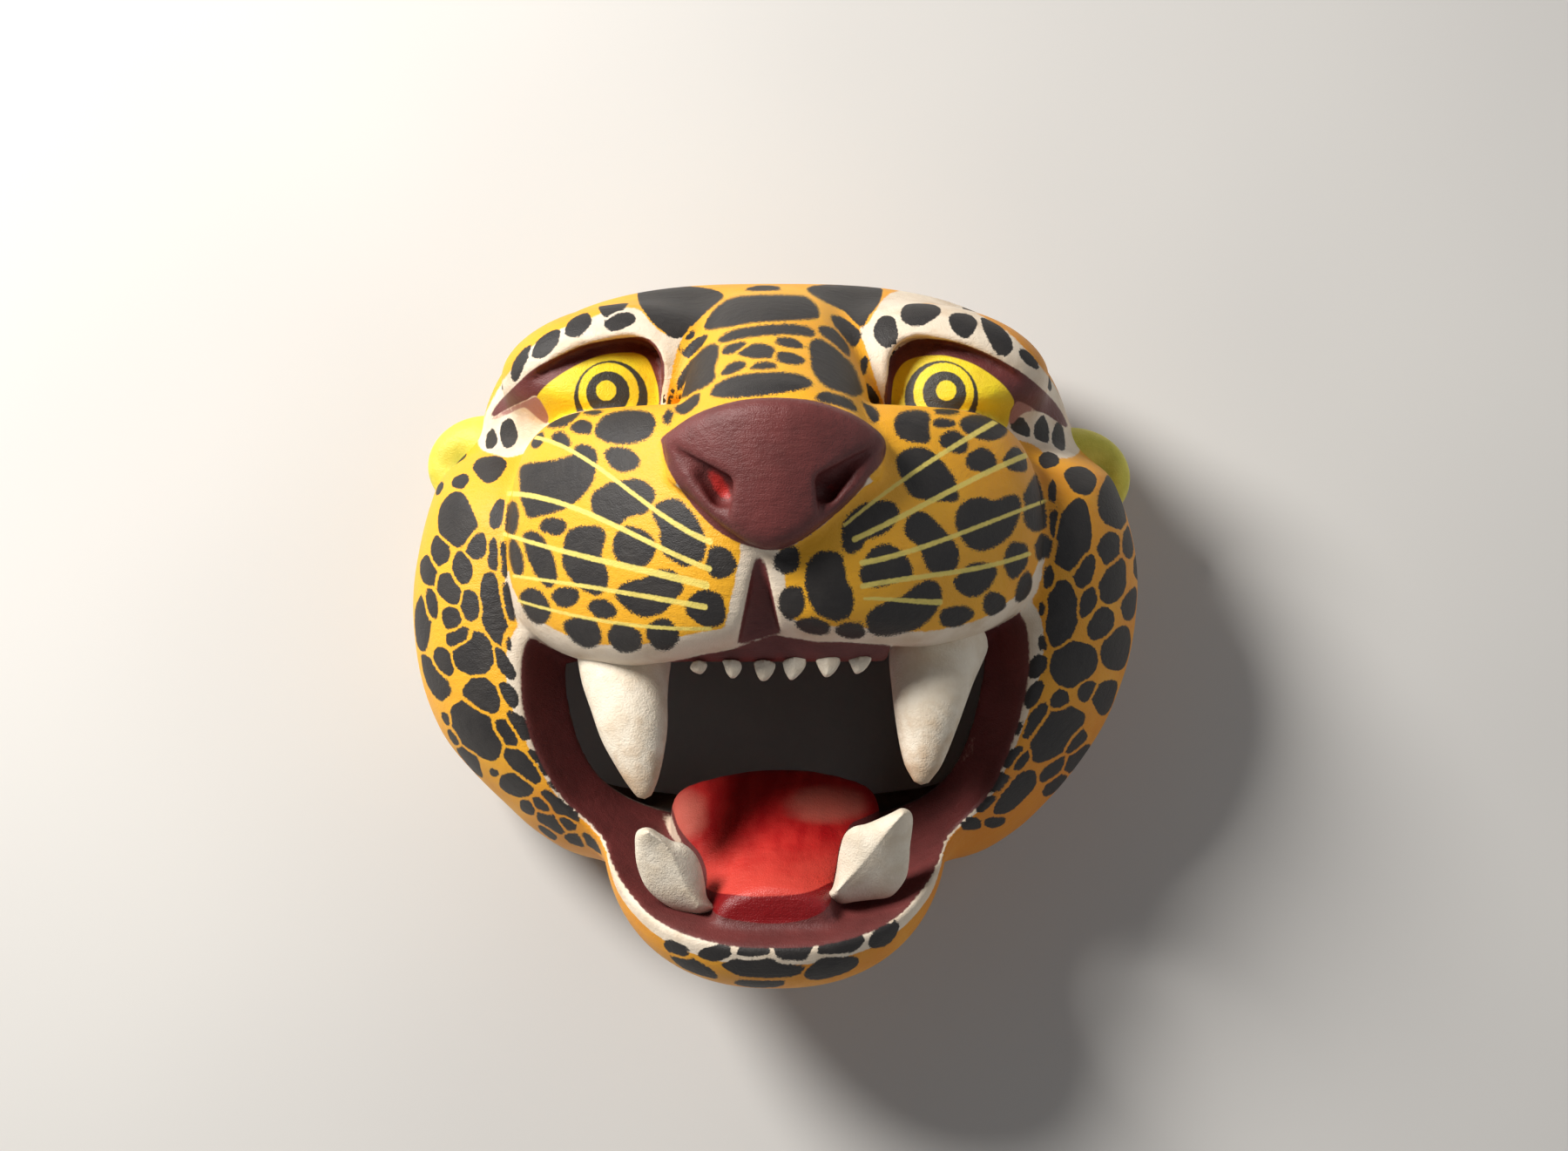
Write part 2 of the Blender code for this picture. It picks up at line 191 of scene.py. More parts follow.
def outline_distance(x, y, loop):
    """Signed distance to a closed outline in the x, y plane, negative inside."""
    x, y = np.broadcast_arrays(x, y)
    nearest = np.full(x.shape, np.inf)
    inside = np.zeros(x.shape, bool)
    for (ax, ay), (bx, by) in zip(loop, np.roll(loop, -1, 0)):
        ex, ey = bx - ax, by - ay
        share = np.clip(((x - ax) * ex + (y - ay) * ey) / (ex * ex + ey * ey), 0, 1)
        nearest = np.minimum(nearest, (x - ax - ex * share) ** 2 + (y - ay - ey * share) ** 2)
        if ay != by:
            level = (y >= min(ay, by)) & (y < max(ay, by))
            inside ^= level & (x < ax + (y - ay) * ex / ey)
    return np.where(inside, -1, 1) * np.sqrt(nearest)


def pillow(flat, z, middle, front, radius, back_in, back):
    """A flat outline given depth: upright sides at the middle depth, rounded over towards the front."""
    behind = np.maximum(middle - z, 0) / back
    side = np.maximum(1 + (flat + back_in * behind**2) / radius, 0)
    depth = np.maximum((z - middle) / front, 0)
    return (np.sqrt(side**2 + depth**2) - 1) * min(radius, front)


def muzzle_depth(x, y):
    return 116 - 0.0052 * x**2 - 0.0075 * (y - 16) ** 2 - 4 * np.exp(-((x / 13) ** 2))


def crown_outline(x, y):
    return (((x / 126) ** 2.8 + (abs(y - 33) / 90) ** 2.8) ** (1 / 2.8) - 1) * 90


def crown(x, y, z):
    return pillow(crown_outline(x, y), z, -28, 54, 50, 10, 45)


def brow(x, y, z):
    """The swelling over each eye, kept inside the outline of the crown."""
    return blend_both(ball(x, y, z, (62, 84, 14), (52, 27, 32)), crown_outline(x, y) + 1.5, 10)


def cheeks(x, y, z):
    return pillow(outline_distance(x, y, curve_through(CHEEK_OUTLINE)), z, -12, 53, 46, 14, 58)


def jaw(x, y, z):
    return ball(x, y + 96 - 0.46 * (22 - z), z, (0, 0, 18), (70, 57, 67), 2.3)


def bridge(x, y, z):
    """The long straight ridge that runs from the forehead down to the nose."""
    rise, out = y - 117, z - 25
    above = 0.883 * rise + 0.469 * out
    along = np.clip((0.883 * out - 0.469 * rise) / 115, -0.3, 1)
    side = x - between(27, 34, along) - 0.25 * np.maximum(-above, 0)
    body = blend_both(side, above + x**2 / 80, 12)
    for limit, blend in ((y - 118, 16), (z - 116, 8), (-above - 34, 8), (-z - 10, 8)):
        body = blend_both(body, limit, blend)
    return body


def mouth_roof(x, y, z):
    return ball(x, y, z, (0, -44, 8), (78, 36, 52), 2.5)


def pads(x, y, z):
    """Both whisker pads, hollowed a little from below behind the fangs."""
    slope = np.sqrt(1 + (0.0104 * x) ** 2 + (0.015 * (y - 14)) ** 2)
    front = (z - muzzle_depth(x, y)) / slope
    body = blend_both(outline_distance(x, y, curve_through(PAD_OUTLINE)), front, 14)
    body = blend_both(body, 2 - z, 4)
    return blend_cut(body, mouth_roof(x, y, z), 6)


def nose(x, y, z):
    front = z - 132 + x**2 / 110 + 3.5 * ((y - 52) / 30) ** 2
    body = blend_both(outline_distance(x, y, curve_through(NOSE_OUTLINE)), front, 7)
    return blend_both(body, 80 - z, 4)


def nostril(x, y, z):
    """The recess under each wing of the nose, deepest at its inner upper corner, with a pit there."""
    under = 0.884 * (y - 36) - 0.467 * (x - 14.5)
    beside = -0.989 * (x - 14.5) - 0.145 * (y - 36)
    floor = 129.7 + 0.103 * x - 0.338 * y
    recess = blend_both(blend_both(under, beside, 3), floor - z, 2)
    pit = capsule(x, y, z, (25, 37, 120), (19, 31, 120), 3, 5)
    return blend_join(recess, pit, 3)


def philtrum(x, y, z):
    """The groove between the pads, a little to the right of the middle line of the face."""
    side = abs(x + 5.5) - 0.21 * np.maximum(8 - y, 0) - 1
    groove = blend_both(side, between(110, 90, ramp(y, 8, -24)) - z, 3)
    return blend_both(groove, y - 7, 3)


def gum(x, y, z):
    front = z - muzzle_depth(x, y) + 12
    body = blend_both(front, -22 - front, 4)
    for limit in (GUM_EDGE - y, x - 44, y):
        body = blend_both(body, limit, 4)
    return body


def tongue(x, y, z):
    floor = -94 - 0.576 * (z + 5)
    top = floor + 14 + 3 * ramp(z, 10, 60)
    half = between(43, 24.5, ramp(z, 0, 66))
    body = blend_both(y - top + 9 * (x / half) ** 2, x - half, 8)
    for limit, blend in ((z - 72, 3), (-8 - z, 6), (floor - 22 - y, 4)):
        body = blend_both(body, limit, blend)
    return body


def sag(x):
    """How much lower the pads and the mouth sit on the mask's own right than on its left."""
    return 0.085 * x / (1 + (x / 110) ** 2)


def evened(x, y):
    """The height that a place would have if the pads and the mouth sat level on both sides."""
    return y - sag(x) * ramp(y, 55, -5) * (1 - ramp(y, -45, -100))


def mouth_gate(x, y, z):
    """The mouth's funnel, which narrows below the lips, and faster at its sides than at the chin."""
    below = between(LIP_DEPTH, CHIN_LIP_DEPTH, ramp(y, -88, -145)) - z
    steep = between(0.72, 0.576, ramp(y, -55, -95))
    funnel = steep * np.maximum(below, 0) + 0.576 * np.minimum(below, 0)
    return outline_distance(x, y, curve_through(MOUTH_OUTLINE)) + funnel


def hollowed(x, y, z, shell):
    """The hollow behind: a squarish ball, kept a wall's thickness inside the shell."""
    return blend_both(ball(x, y, z, (0, 0, -75), (128, 108, 112), 3), shell + WALL / UNIT, 12)


def head_field(x, y, z):
    """Distance to the carved head in carving units, negative in the wood."""
    across, straight = x, y
    y = evened(x, y)
    x = abs(x)
    top = crown(x, y, z)
    sides = cheeks(x, y, z)
    below = jaw(x, y, z)
    crease = between(5, 34, ramp(z, 5, -60))
    shell = blend_join(blend_join(top, sides, crease), below, 12)
    outer = blend_join(blend_join(blend_join(top, brow(x, y, z), 12), sides, crease), below, 12)
    head = blend_cut(outer, blend_both(mouth_gate(x, y, z), -60 - z, 6), 3)
    eyeball = ball(x, y, z, (76, 68, -6), (54, 44, 46))
    socket = outline_distance(x, y, curve_through(EYE_OUTLINE, mirrored=False))
    socket = blend_both(blend_both(socket, -eyeball, 2), 12 - z, 3)
    head = blend_cut(head, socket, 2)
    head = blend_join(head, bridge(x, y, z), 8)
    head = blend_join(head, pads(x, y, z), 3)
    head = blend_cut(head, hollowed(x, y, z, shell), 4)
    head = blend_join(head, nose(x, y, z), 3)
    head = blend_cut(head, philtrum(across, y, z), 3)
    head = blend_cut(head, nostril(x, y, z), 2)
    head = blend_join(head, gum(x, straight, z), 2)
    return blend_join(head, blend_both(tongue(x, y, z), below + 8, 6), 4)


FACE_TO_MASK = (
    Matrix.Translation((0, MIDDLE_Y, RIM_BACK)) @ Matrix.Rotation(LEAN, 4, "X") @ Matrix.Scale(UNIT, 4)
)


def in_mask(point):
    """A point of the face frame, given in carving units, as a place of the finished mask."""
    return FACE_TO_MASK @ Vector(point)


# The photograph: 1800 x 1321 pixels, taken straight at the face from this far in front of it
PHOTO_MIDDLE = (900, 660.5)
FOCAL_PIXELS = 3061
VIEWER = (3.6, 0, 1100)
# Grid steps of the head's mesh, and the space that it fills, in carving units
FINE_CELL = 2.05
FIELD_LOW = np.array([-158.0, -184.0, -112.0])
FIELD_HIGH = np.array([158.0, 130.0, 142.0])
# Share of the triangles that is taken out of the mesh where the hollow is smooth
INSIDE_THINNED = 0.55
# The rim is cut this far above the table, in metres
SAW_HEIGHT = 0.00002


def at_pixel(u, v, z):
    """The place in the face frame that shows at a pixel of the photograph, at a given depth."""
    reach = (VIEWER[2] - z) / FOCAL_PIXELS
    return ((u - PHOTO_MIDDLE[0]) * reach + VIEWER[0], (PHOTO_MIDDLE[1] - v) * reach, z)


def drawn_at(x, y, z):
    """The pixel of the photograph at which a place in the face frame shows."""
    reach = (VIEWER[2] - z) / FOCAL_PIXELS
    return PHOTO_MIDDLE[0] + (x - VIEWER[0]) / reach, PHOTO_MIDDLE[1] - y / reach


def show(name, mesh, slot_name, *nodes):
    """A piece of the mask, which takes the place of the CAD nodes that are named."""
    piece = bpy.data.objects.new(name, mesh)
    bpy.context.scene.collection.objects.link(piece)
    mesh.shade_smooth()
    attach(piece, "root")
    if nodes:
        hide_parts(*nodes)
    return piece


def hollow_field(x, y, z):
    x = abs(x)
    shell = blend_join(blend_join(crown(x, y, z), cheeks(x, y, z), 12), jaw(x, y, z), 12)
    return hollowed(x, y, z, shell)


def vertex_array(mesh, what="co"):
    flat = np.empty(len(mesh.vertices) * 3)
    mesh.vertices.foreach_get(what, flat)
    return flat.reshape(-1, 3)


def settled(points, normals, rounds):
    """Moves the points along their normals onto the carved surface."""
    for _ in range(rounds):
        level = head_field(*points.T)
        ahead = head_field(*(points + 0.5 * normals).T)
        slope = np.clip((ahead - level) / 0.5, 0.3, 1.5)
        points = points - normals * np.clip(level / slope, -1, 1)[:, None]
    return points


def carved_head():
    """The head's field turned into a fine mesh in the face frame, thinned inside the hollow."""
    cell = FINE_CELL
    counts = np.ceil((FIELD_HIGH - FIELD_LOW) / cell).astype(int) + 1
    x, y, z = (FIELD_LOW[i] + cell * np.arange(counts[i]) for i in range(3))
    field = head_field(x[:, None, None], y[None, :, None], z[None, None, :])
    grid = openvdb.FloatGrid(100.0)
    grid.copyFromArray(np.array(field, np.float32))
    points, triangles, quads = grid.convertToPolygons(0.0, 0.0)
    mesh = bpy.data.meshes.new("tiger_head")
    mesh.from_pydata((points * cell + FIELD_LOW).tolist(), [], quads.tolist() + triangles.tolist())
    points = settled(vertex_array(mesh), vertex_array(mesh, "normal"), rounds=2)
    mesh.vertices.foreach_set("co", points.ravel())
    head = show("tiger_head", mesh, "painted_wood", "head")
    inside = head.vertex_groups.new(name="inside")
    deep = np.flatnonzero(abs(hollow_field(*points.T)) < 1.2)
    inside.add(deep.tolist(), 1.0, "REPLACE")
    thin = head.modifiers.new("thin", "DECIMATE")
    thin.ratio = 1 - INSIDE_THINNED * len(deep) / len(points)
    thin.vertex_group = "inside"
    thin.vertex_group_factor = 10
    evaluated = head.evaluated_get(bpy.context.evaluated_depsgraph_get())
    thinned = bpy.data.meshes.new_from_object(evaluated)
    head.modifiers.clear()
    head.vertex_groups.clear()
    head.data = thinned
    bpy.data.meshes.remove(mesh)
    thinned.name = "tiger_head"
    return head


def cut_off(shape, place, facing):
    """Takes away what lies beyond a plane, and returns the edges of the opening."""
    everything = shape.verts[:] + shape.edges[:] + shape.faces[:]
    cut = bmesh.ops.bisect_plane(
        shape, geom=everything, plane_co=place, plane_no=facing, clear_outer=True, dist=0.00001
    )
    return [piece for piece in cut["geom_cut"] if isinstance(piece, bmesh.types.BMEdge)]


def sawn_flat(mesh):
    """Cuts the mesh off at the table, like the flat back rim, and closes it there."""
    shape = bmesh.new()
    shape.from_mesh(mesh)
    rim = cut_off(shape, (0, 0, SAW_HEIGHT), (0, 0, -1))
    bmesh.ops.triangle_fill(shape, edges=rim, use_beauty=True, normal=(0, 0, -1))
    shape.to_mesh(mesh)
    shape.free()


head = carved_head()
head.data.transform(FACE_TO_MASK)
sawn_flat(head.data)

# The fangs, as rounded cross sections from the gum to the tip: (u, v, depth, half width in pixels)
UPPER_FANGS = {
    "right": [
        (717, 748, 50, 55), (718, 775, 55, 51), (722, 805, 60, 45), (728, 840, 64, 39),
        (733, 868, 67, 30), (737, 893, 69, 20), (739, 908, 70, 12),
    ],
    "left": [
        (1078, 733, 42, 57), (1072, 760, 50, 52), (1068, 790, 57, 45), (1064, 825, 64, 37),
        (1061, 855, 67, 29), (1059, 878, 69, 21), (1058, 891, 70, 13),
    ],
}
FANG_SEGMENTS = 32
# Thickness from front to back against the width
FANG_DEPTH_SHARE = 0.94
# Places along the peg, as shares of its depth, and its widths there, as shares of the tooth's
PEG_PLACES = (0.95, 0.6, 0.15)
PEG_WIDTHS = (0.55, 0.78, 0.97)


def tooth_from(name, corners, faces, smoothings=0):
    """A closed mesh with its faces turned outwards, smoothed a number of times."""
    mesh = bpy.data.meshes.new(name)
    mesh.from_pydata(corners, [], faces)
    shape = bmesh.new()
    shape.from_mesh(mesh)
    bmesh.ops.recalc_face_normals(shape, faces=shape.faces)
    for _ in range(smoothings):
        bmesh.ops.smooth_vert(
            shape, verts=shape.verts, factor=0.4, use_axis_x=True, use_axis_y=True, use_axis_z=True
        )
    shape.to_mesh(mesh)
    shape.free()
    return mesh


def fang_mesh(name, rows):
    """A tooth swept through its cross sections, with a peg into the gum and a rounded tip."""
    places = np.array([at_pixel(u, v, z) for u, v, z, _ in rows])
    halves = np.array([half * (VIEWER[2] - z) / FOCAL_PIXELS for _, _, z, half in rows])
    # A smooth curve through the rows
    steps = np.linspace(0, len(rows) - 1, 40)
    fine = np.array([[curve_at(places[:, k], s) for k in range(3)] for s in steps])
    widths = np.array([curve_at(halves, s) for s in steps])
    into = (fine[0] - fine[3]) / np.linalg.norm(fine[0] - fine[3])
    peg = [fine[0] + into * PEG_DEPTH / UNIT * share for share in PEG_PLACES]
    fine = np.vstack([peg, fine])
    widths = np.concatenate([[share * widths[0] for share in PEG_WIDTHS], widths])
    ahead = (fine[-1] - fine[-3]) / np.linalg.norm(fine[-1] - fine[-3])
    tip = fine[-1] + ahead * widths[-1] * 0.75
    fine = np.vstack([fine, fine[-1] + ahead * widths[-1] * 0.5])
    widths = np.append(widths, widths[-1] * 0.66)
    corners = []
    for row, (place, width) in enumerate(zip(fine, widths)):
        along = fine[min(row + 1, len(fine) - 1)] - fine[max(row - 1, 0)]
        along /= np.linalg.norm(along)
        side = np.cross(along, (0, 0, 1.0))
        side /= np.linalg.norm(side)
        out = np.cross(side, along)
        for k in range(FANG_SEGMENTS):
            turn = 2 * math.pi * k / FANG_SEGMENTS
            across = side * width * math.cos(turn)
            corners.append(place + across + out * width * FANG_DEPTH_SHARE * math.sin(turn))
    faces = []
    for row in range(len(fine) - 1):
        for k in range(FANG_SEGMENTS):
            j = (k + 1) % FANG_SEGMENTS
            a, b = row * FANG_SEGMENTS, (row + 1) * FANG_SEGMENTS
            faces.append((a + k, b + k, b + j, a + j))
    corners += [fine[0], tip]
    first, last, final = len(corners) - 2, len(corners) - 1, (len(fine) - 1) * FANG_SEGMENTS
    for k in range(FANG_SEGMENTS):
        j = (k + 1) % FANG_SEGMENTS
        faces.append((first, k, j))
        faces.append((last, final + j, final + k))
    mesh = tooth_from(name, [tuple(corner) for corner in corners], faces)
    shares = np.repeat(np.linspace(-0.1, 1, len(fine)), FANG_SEGMENTS)
    tips = mesh.attributes.new("tip", "FLOAT", "POINT")
    tips.data.foreach_set("value", np.append(shares, (0, 1)).astype(np.float32))
    return mesh


def curve_at(values, place):
    """A smooth curve through evenly spaced values."""
    last = len(values) - 1
    start = min(int(place), last - 1)
    t = place - start
    a, b, c, d = (values[min(max(start + k, 0), last)] for k in (-1, 0, 1, 2))
    return 0.5 * (2 * b + (c - a) * t + (2 * a - 5 * b + 4 * c - d) * t**2 + (3 * b - a - 3 * c + d) * t**3)


for side, rows in UPPER_FANGS.items():
    mesh = fang_mesh("fang_upper_" + side, rows)
    mesh.transform(FACE_TO_MASK)
    show(mesh.name, mesh, "cream_fangs", "upper_fang_" + side)

# The carved teeth: each drawn outline and the crest along it, in pixels
LOWER_FANGS = {
    "right": (
        (
            739, 949, 731, 953, 728, 961, 728, 973, 729, 988, 733, 1003, 740, 1018, 752, 1031, 770,
            1043, 790, 1049, 808, 1050, 824, 1044, 813, 1030, 810, 1012, 805, 991, 796, 976, 784, 967,
            772, 964, 760, 957, 748, 950,
        ),
        (
            744, 955, 760, 966, 771, 980, 779, 1000, 789, 1022, 802, 1040,
        ),
    ),
    "left": (
        (
            1039, 927, 1046, 931, 1049, 940, 1048, 955, 1046, 970, 1045, 988, 1042, 1006, 1033, 1021,
            1021, 1031, 1000, 1034, 982, 1036, 967, 1038, 953, 1033, 950, 1025, 955, 1018, 959, 1000,
            962, 979, 968, 958, 979, 948, 995, 944, 1012, 937, 1025, 931, 1033, 927,
        ),
        (
            1036, 935, 1026, 946, 1016, 958, 1000, 979, 985, 997, 970, 1013, 962, 1022,
        ),
    ),
}
SMALL_TEETH = [
    (792, 765, 796, 759, 805, 758, 812, 762, 811, 768, 805, 774, 797, 772, 793, 769),
    (829, 758, 836, 757, 848, 758, 852, 766, 847, 776, 840, 779, 834, 773, 831, 765),
    (866, 759, 878, 757, 890, 761, 889, 770, 882, 780, 874, 782, 869, 776, 866, 767),
    (899, 758, 910, 754, 923, 754, 926, 761, 922, 770, 913, 779, 907, 781, 902, 774, 899, 766),
    (937, 757, 949, 754, 962, 754, 965, 760, 959, 771, 952, 777, 946, 777, 941, 770, 938, 764),
    (974, 756, 988, 753, 1000, 754, 999, 761, 992, 770, 983, 774, 979, 770, 976, 763),
]
# Grid steps of their meshes: across in pixels, and in depth in carving units
TOOTH_STEP = 1.1
DEPTH_STEP = 0.45
# How far behind the pads' front the small teeth stand, in carving units
SMALL_TEETH_IN = 11.5


def carved_tooth(name, outline, crest, depths, rise, back, edge):
    """A tooth that fills its drawn outline, with facets that rise to the crest and a rounded back.

    The depths are those of its upper and lower end, in units, out of the face."""
    loop = curve_through(np.reshape(outline, (-1, 2)), mirrored=False)
    crest = np.reshape(crest, (-1, 2)).astype(float)
    low, high = loop.min(0) - 4, loop.max(0) + 4
    u = np.arange(low[0], high[0], TOOTH_STEP)
    v = np.arange(low[1], high[1], TOOTH_STEP)
    z = np.arange(min(depths) - back - 3, max(depths) + rise + 3, DEPTH_STEP)
    wide, high_row = np.meshgrid(u, v, indexing="ij")
    unit = (VIEWER[2] - sum(depths) / 2) / FOCAL_PIXELS
    rim = outline_distance(wide, high_row, loop) * unit
    away = np.full(wide.shape, np.inf)
    for (au, av), (bu, bv) in zip(crest[:-1], crest[1:]):
        eu, ev = bu - au, bv - av
        share = np.clip(((wide - au) * eu + (high_row - av) * ev) / (eu * eu + ev * ev), 0, 1)
        away = np.minimum(away, np.hypot(wide - au - eu * share, high_row - av - ev * share) * unit)
    inner = np.maximum(-rim, 0)
    share = inner / (inner + away + 0.01)
    height = rise * (0.45 * share + 0.55 * (1 - (1 - share) ** 2))
    fall = np.clip((high_row - loop[:, 1].min()) / np.ptp(loop[:, 1]), 0, 1)
    base = between(depths[0], depths[1], fall)
    front = (base + height)[:, :, None]
    # The back is as round as the tooth is wide there, so the point ends thin
    behind = (base - back * np.sqrt(inner / inner.max()))[:, :, None]
    depth = z[None, None, :]
    body = blend_both(blend_both(rim[:, :, None], depth - front, edge), behind - depth, edge)
    grid = openvdb.FloatGrid(100.0)
    grid.copyFromArray(np.array(body, np.float32))
    places, triangles, quads = grid.convertToPolygons(0.0, 0.0)
    placed = [
        at_pixel(low[0] + i * TOOTH_STEP, low[1] + j * TOOTH_STEP, z[0] + k * DEPTH_STEP)
        for i, j, k in places
    ]
    return tooth_from(name, placed, quads.tolist() + triangles.tolist(), smoothings=2)


for side, (outline, crest) in LOWER_FANGS.items():
    mesh = carved_tooth("fang_lower_" + side, outline, crest, depths=(73, 60), rise=8, back=14, edge=2.5)
    mesh.transform(FACE_TO_MASK)
    show(mesh.name, mesh, "cream_fangs", "lower_fang_" + side)

# The ears, in metres, and how much smaller than the CAD ears they are drawn
EAR_LENGTH = 0.025
EAR_HALF_HEIGHT = 0.021
EAR_HALF_THICKNESS = 0.013
EAR_SEAT_DEPTH = 0.008
EAR_SHARE = 0.97
# The dish in an ear: its depth against the half thickness, and where its middle lies on the half length
DISH_DEPTH = 0.42
DISH_MIDDLE = 0.45


def ear_mesh(name, side):
    """A rounded tab with a shallow dish in front, cut flat on the side that sits in the head."""
    shape = bmesh.new()
    bmesh.ops.create_uvsphere(shape, u_segments=96, v_segments=64, radius=1)
    for corner in shape.verts:
        x, y, z = corner.co
        # A blunter, squarer rim than a plain ball, and a dish in the front of it
        rim = (x * x + y * y) ** 0.5
        grow = 1 + 0.05 * rim**4
        x, y = x * grow, y * grow
        if z > 0:
            z -= DISH_DEPTH * math.exp(-((x - DISH_MIDDLE * side) ** 2 / 0.16 + y * y / 0.22))
        corner.co = (EAR_LENGTH * x * EAR_SHARE, EAR_HALF_HEIGHT * y * EAR_SHARE, EAR_HALF_THICKNESS * z)
    bmesh.ops.contextual_create(shape, geom=cut_off(shape, (-side * EAR_SEAT_DEPTH, 0, 0), (-side, 0, 0)))
    bmesh.ops.recalc_face_normals(shape, faces=shape.faces)
    mesh = bpy.data.meshes.new(name)
    shape.to_mesh(mesh)
    shape.free()
    return mesh


for side, centre in EARS.items():
    mesh = ear_mesh("ear_piece_" + side, 1 if side == "left" else -1)
    mesh.transform(Matrix.Translation(in_mask(centre)) @ Matrix.Rotation(LEAN, 4, "X"))
    show(mesh.name, mesh, "lemon_ears", "ear_" + side)

for number, outline in enumerate(SMALL_TEETH):
    loop = np.reshape(outline, (-1, 2))
    middle = (loop[:, 0].min() + loop[:, 0].max()) / 2
    x = at_pixel(middle, 760, 90)[0]
    depth = float(muzzle_depth(np.float64(x), np.float64(GUM_EDGE))) - SMALL_TEETH_IN
    crest = (middle, loop[:, 1].min() - 6, loop[:, 0].mean(), loop[:, 1].max() - 5)
    mesh = carved_tooth(
        f"front_tooth_{number + 1}", outline, crest, depths=(depth, depth - 0.5), rise=1.5, back=4, edge=0.6
    )
    mesh.transform(FACE_TO_MASK)
    show(mesh.name, mesh, "painted_wood")

# The floor, in metres
FLOOR_HALF = 30
floor_mesh = bpy.data.meshes.new("floor")
floor_corners = [(FLOOR_HALF * x, FLOOR_HALF * y, 0) for x, y in ((-1, -1), (1, -1), (1, 1), (-1, 1))]
floor_mesh.from_pydata(floor_corners, [], [(0, 1, 2, 3)])
floor = bpy.data.objects.new("floor", floor_mesh)
bpy.context.scene.collection.objects.link(floor)

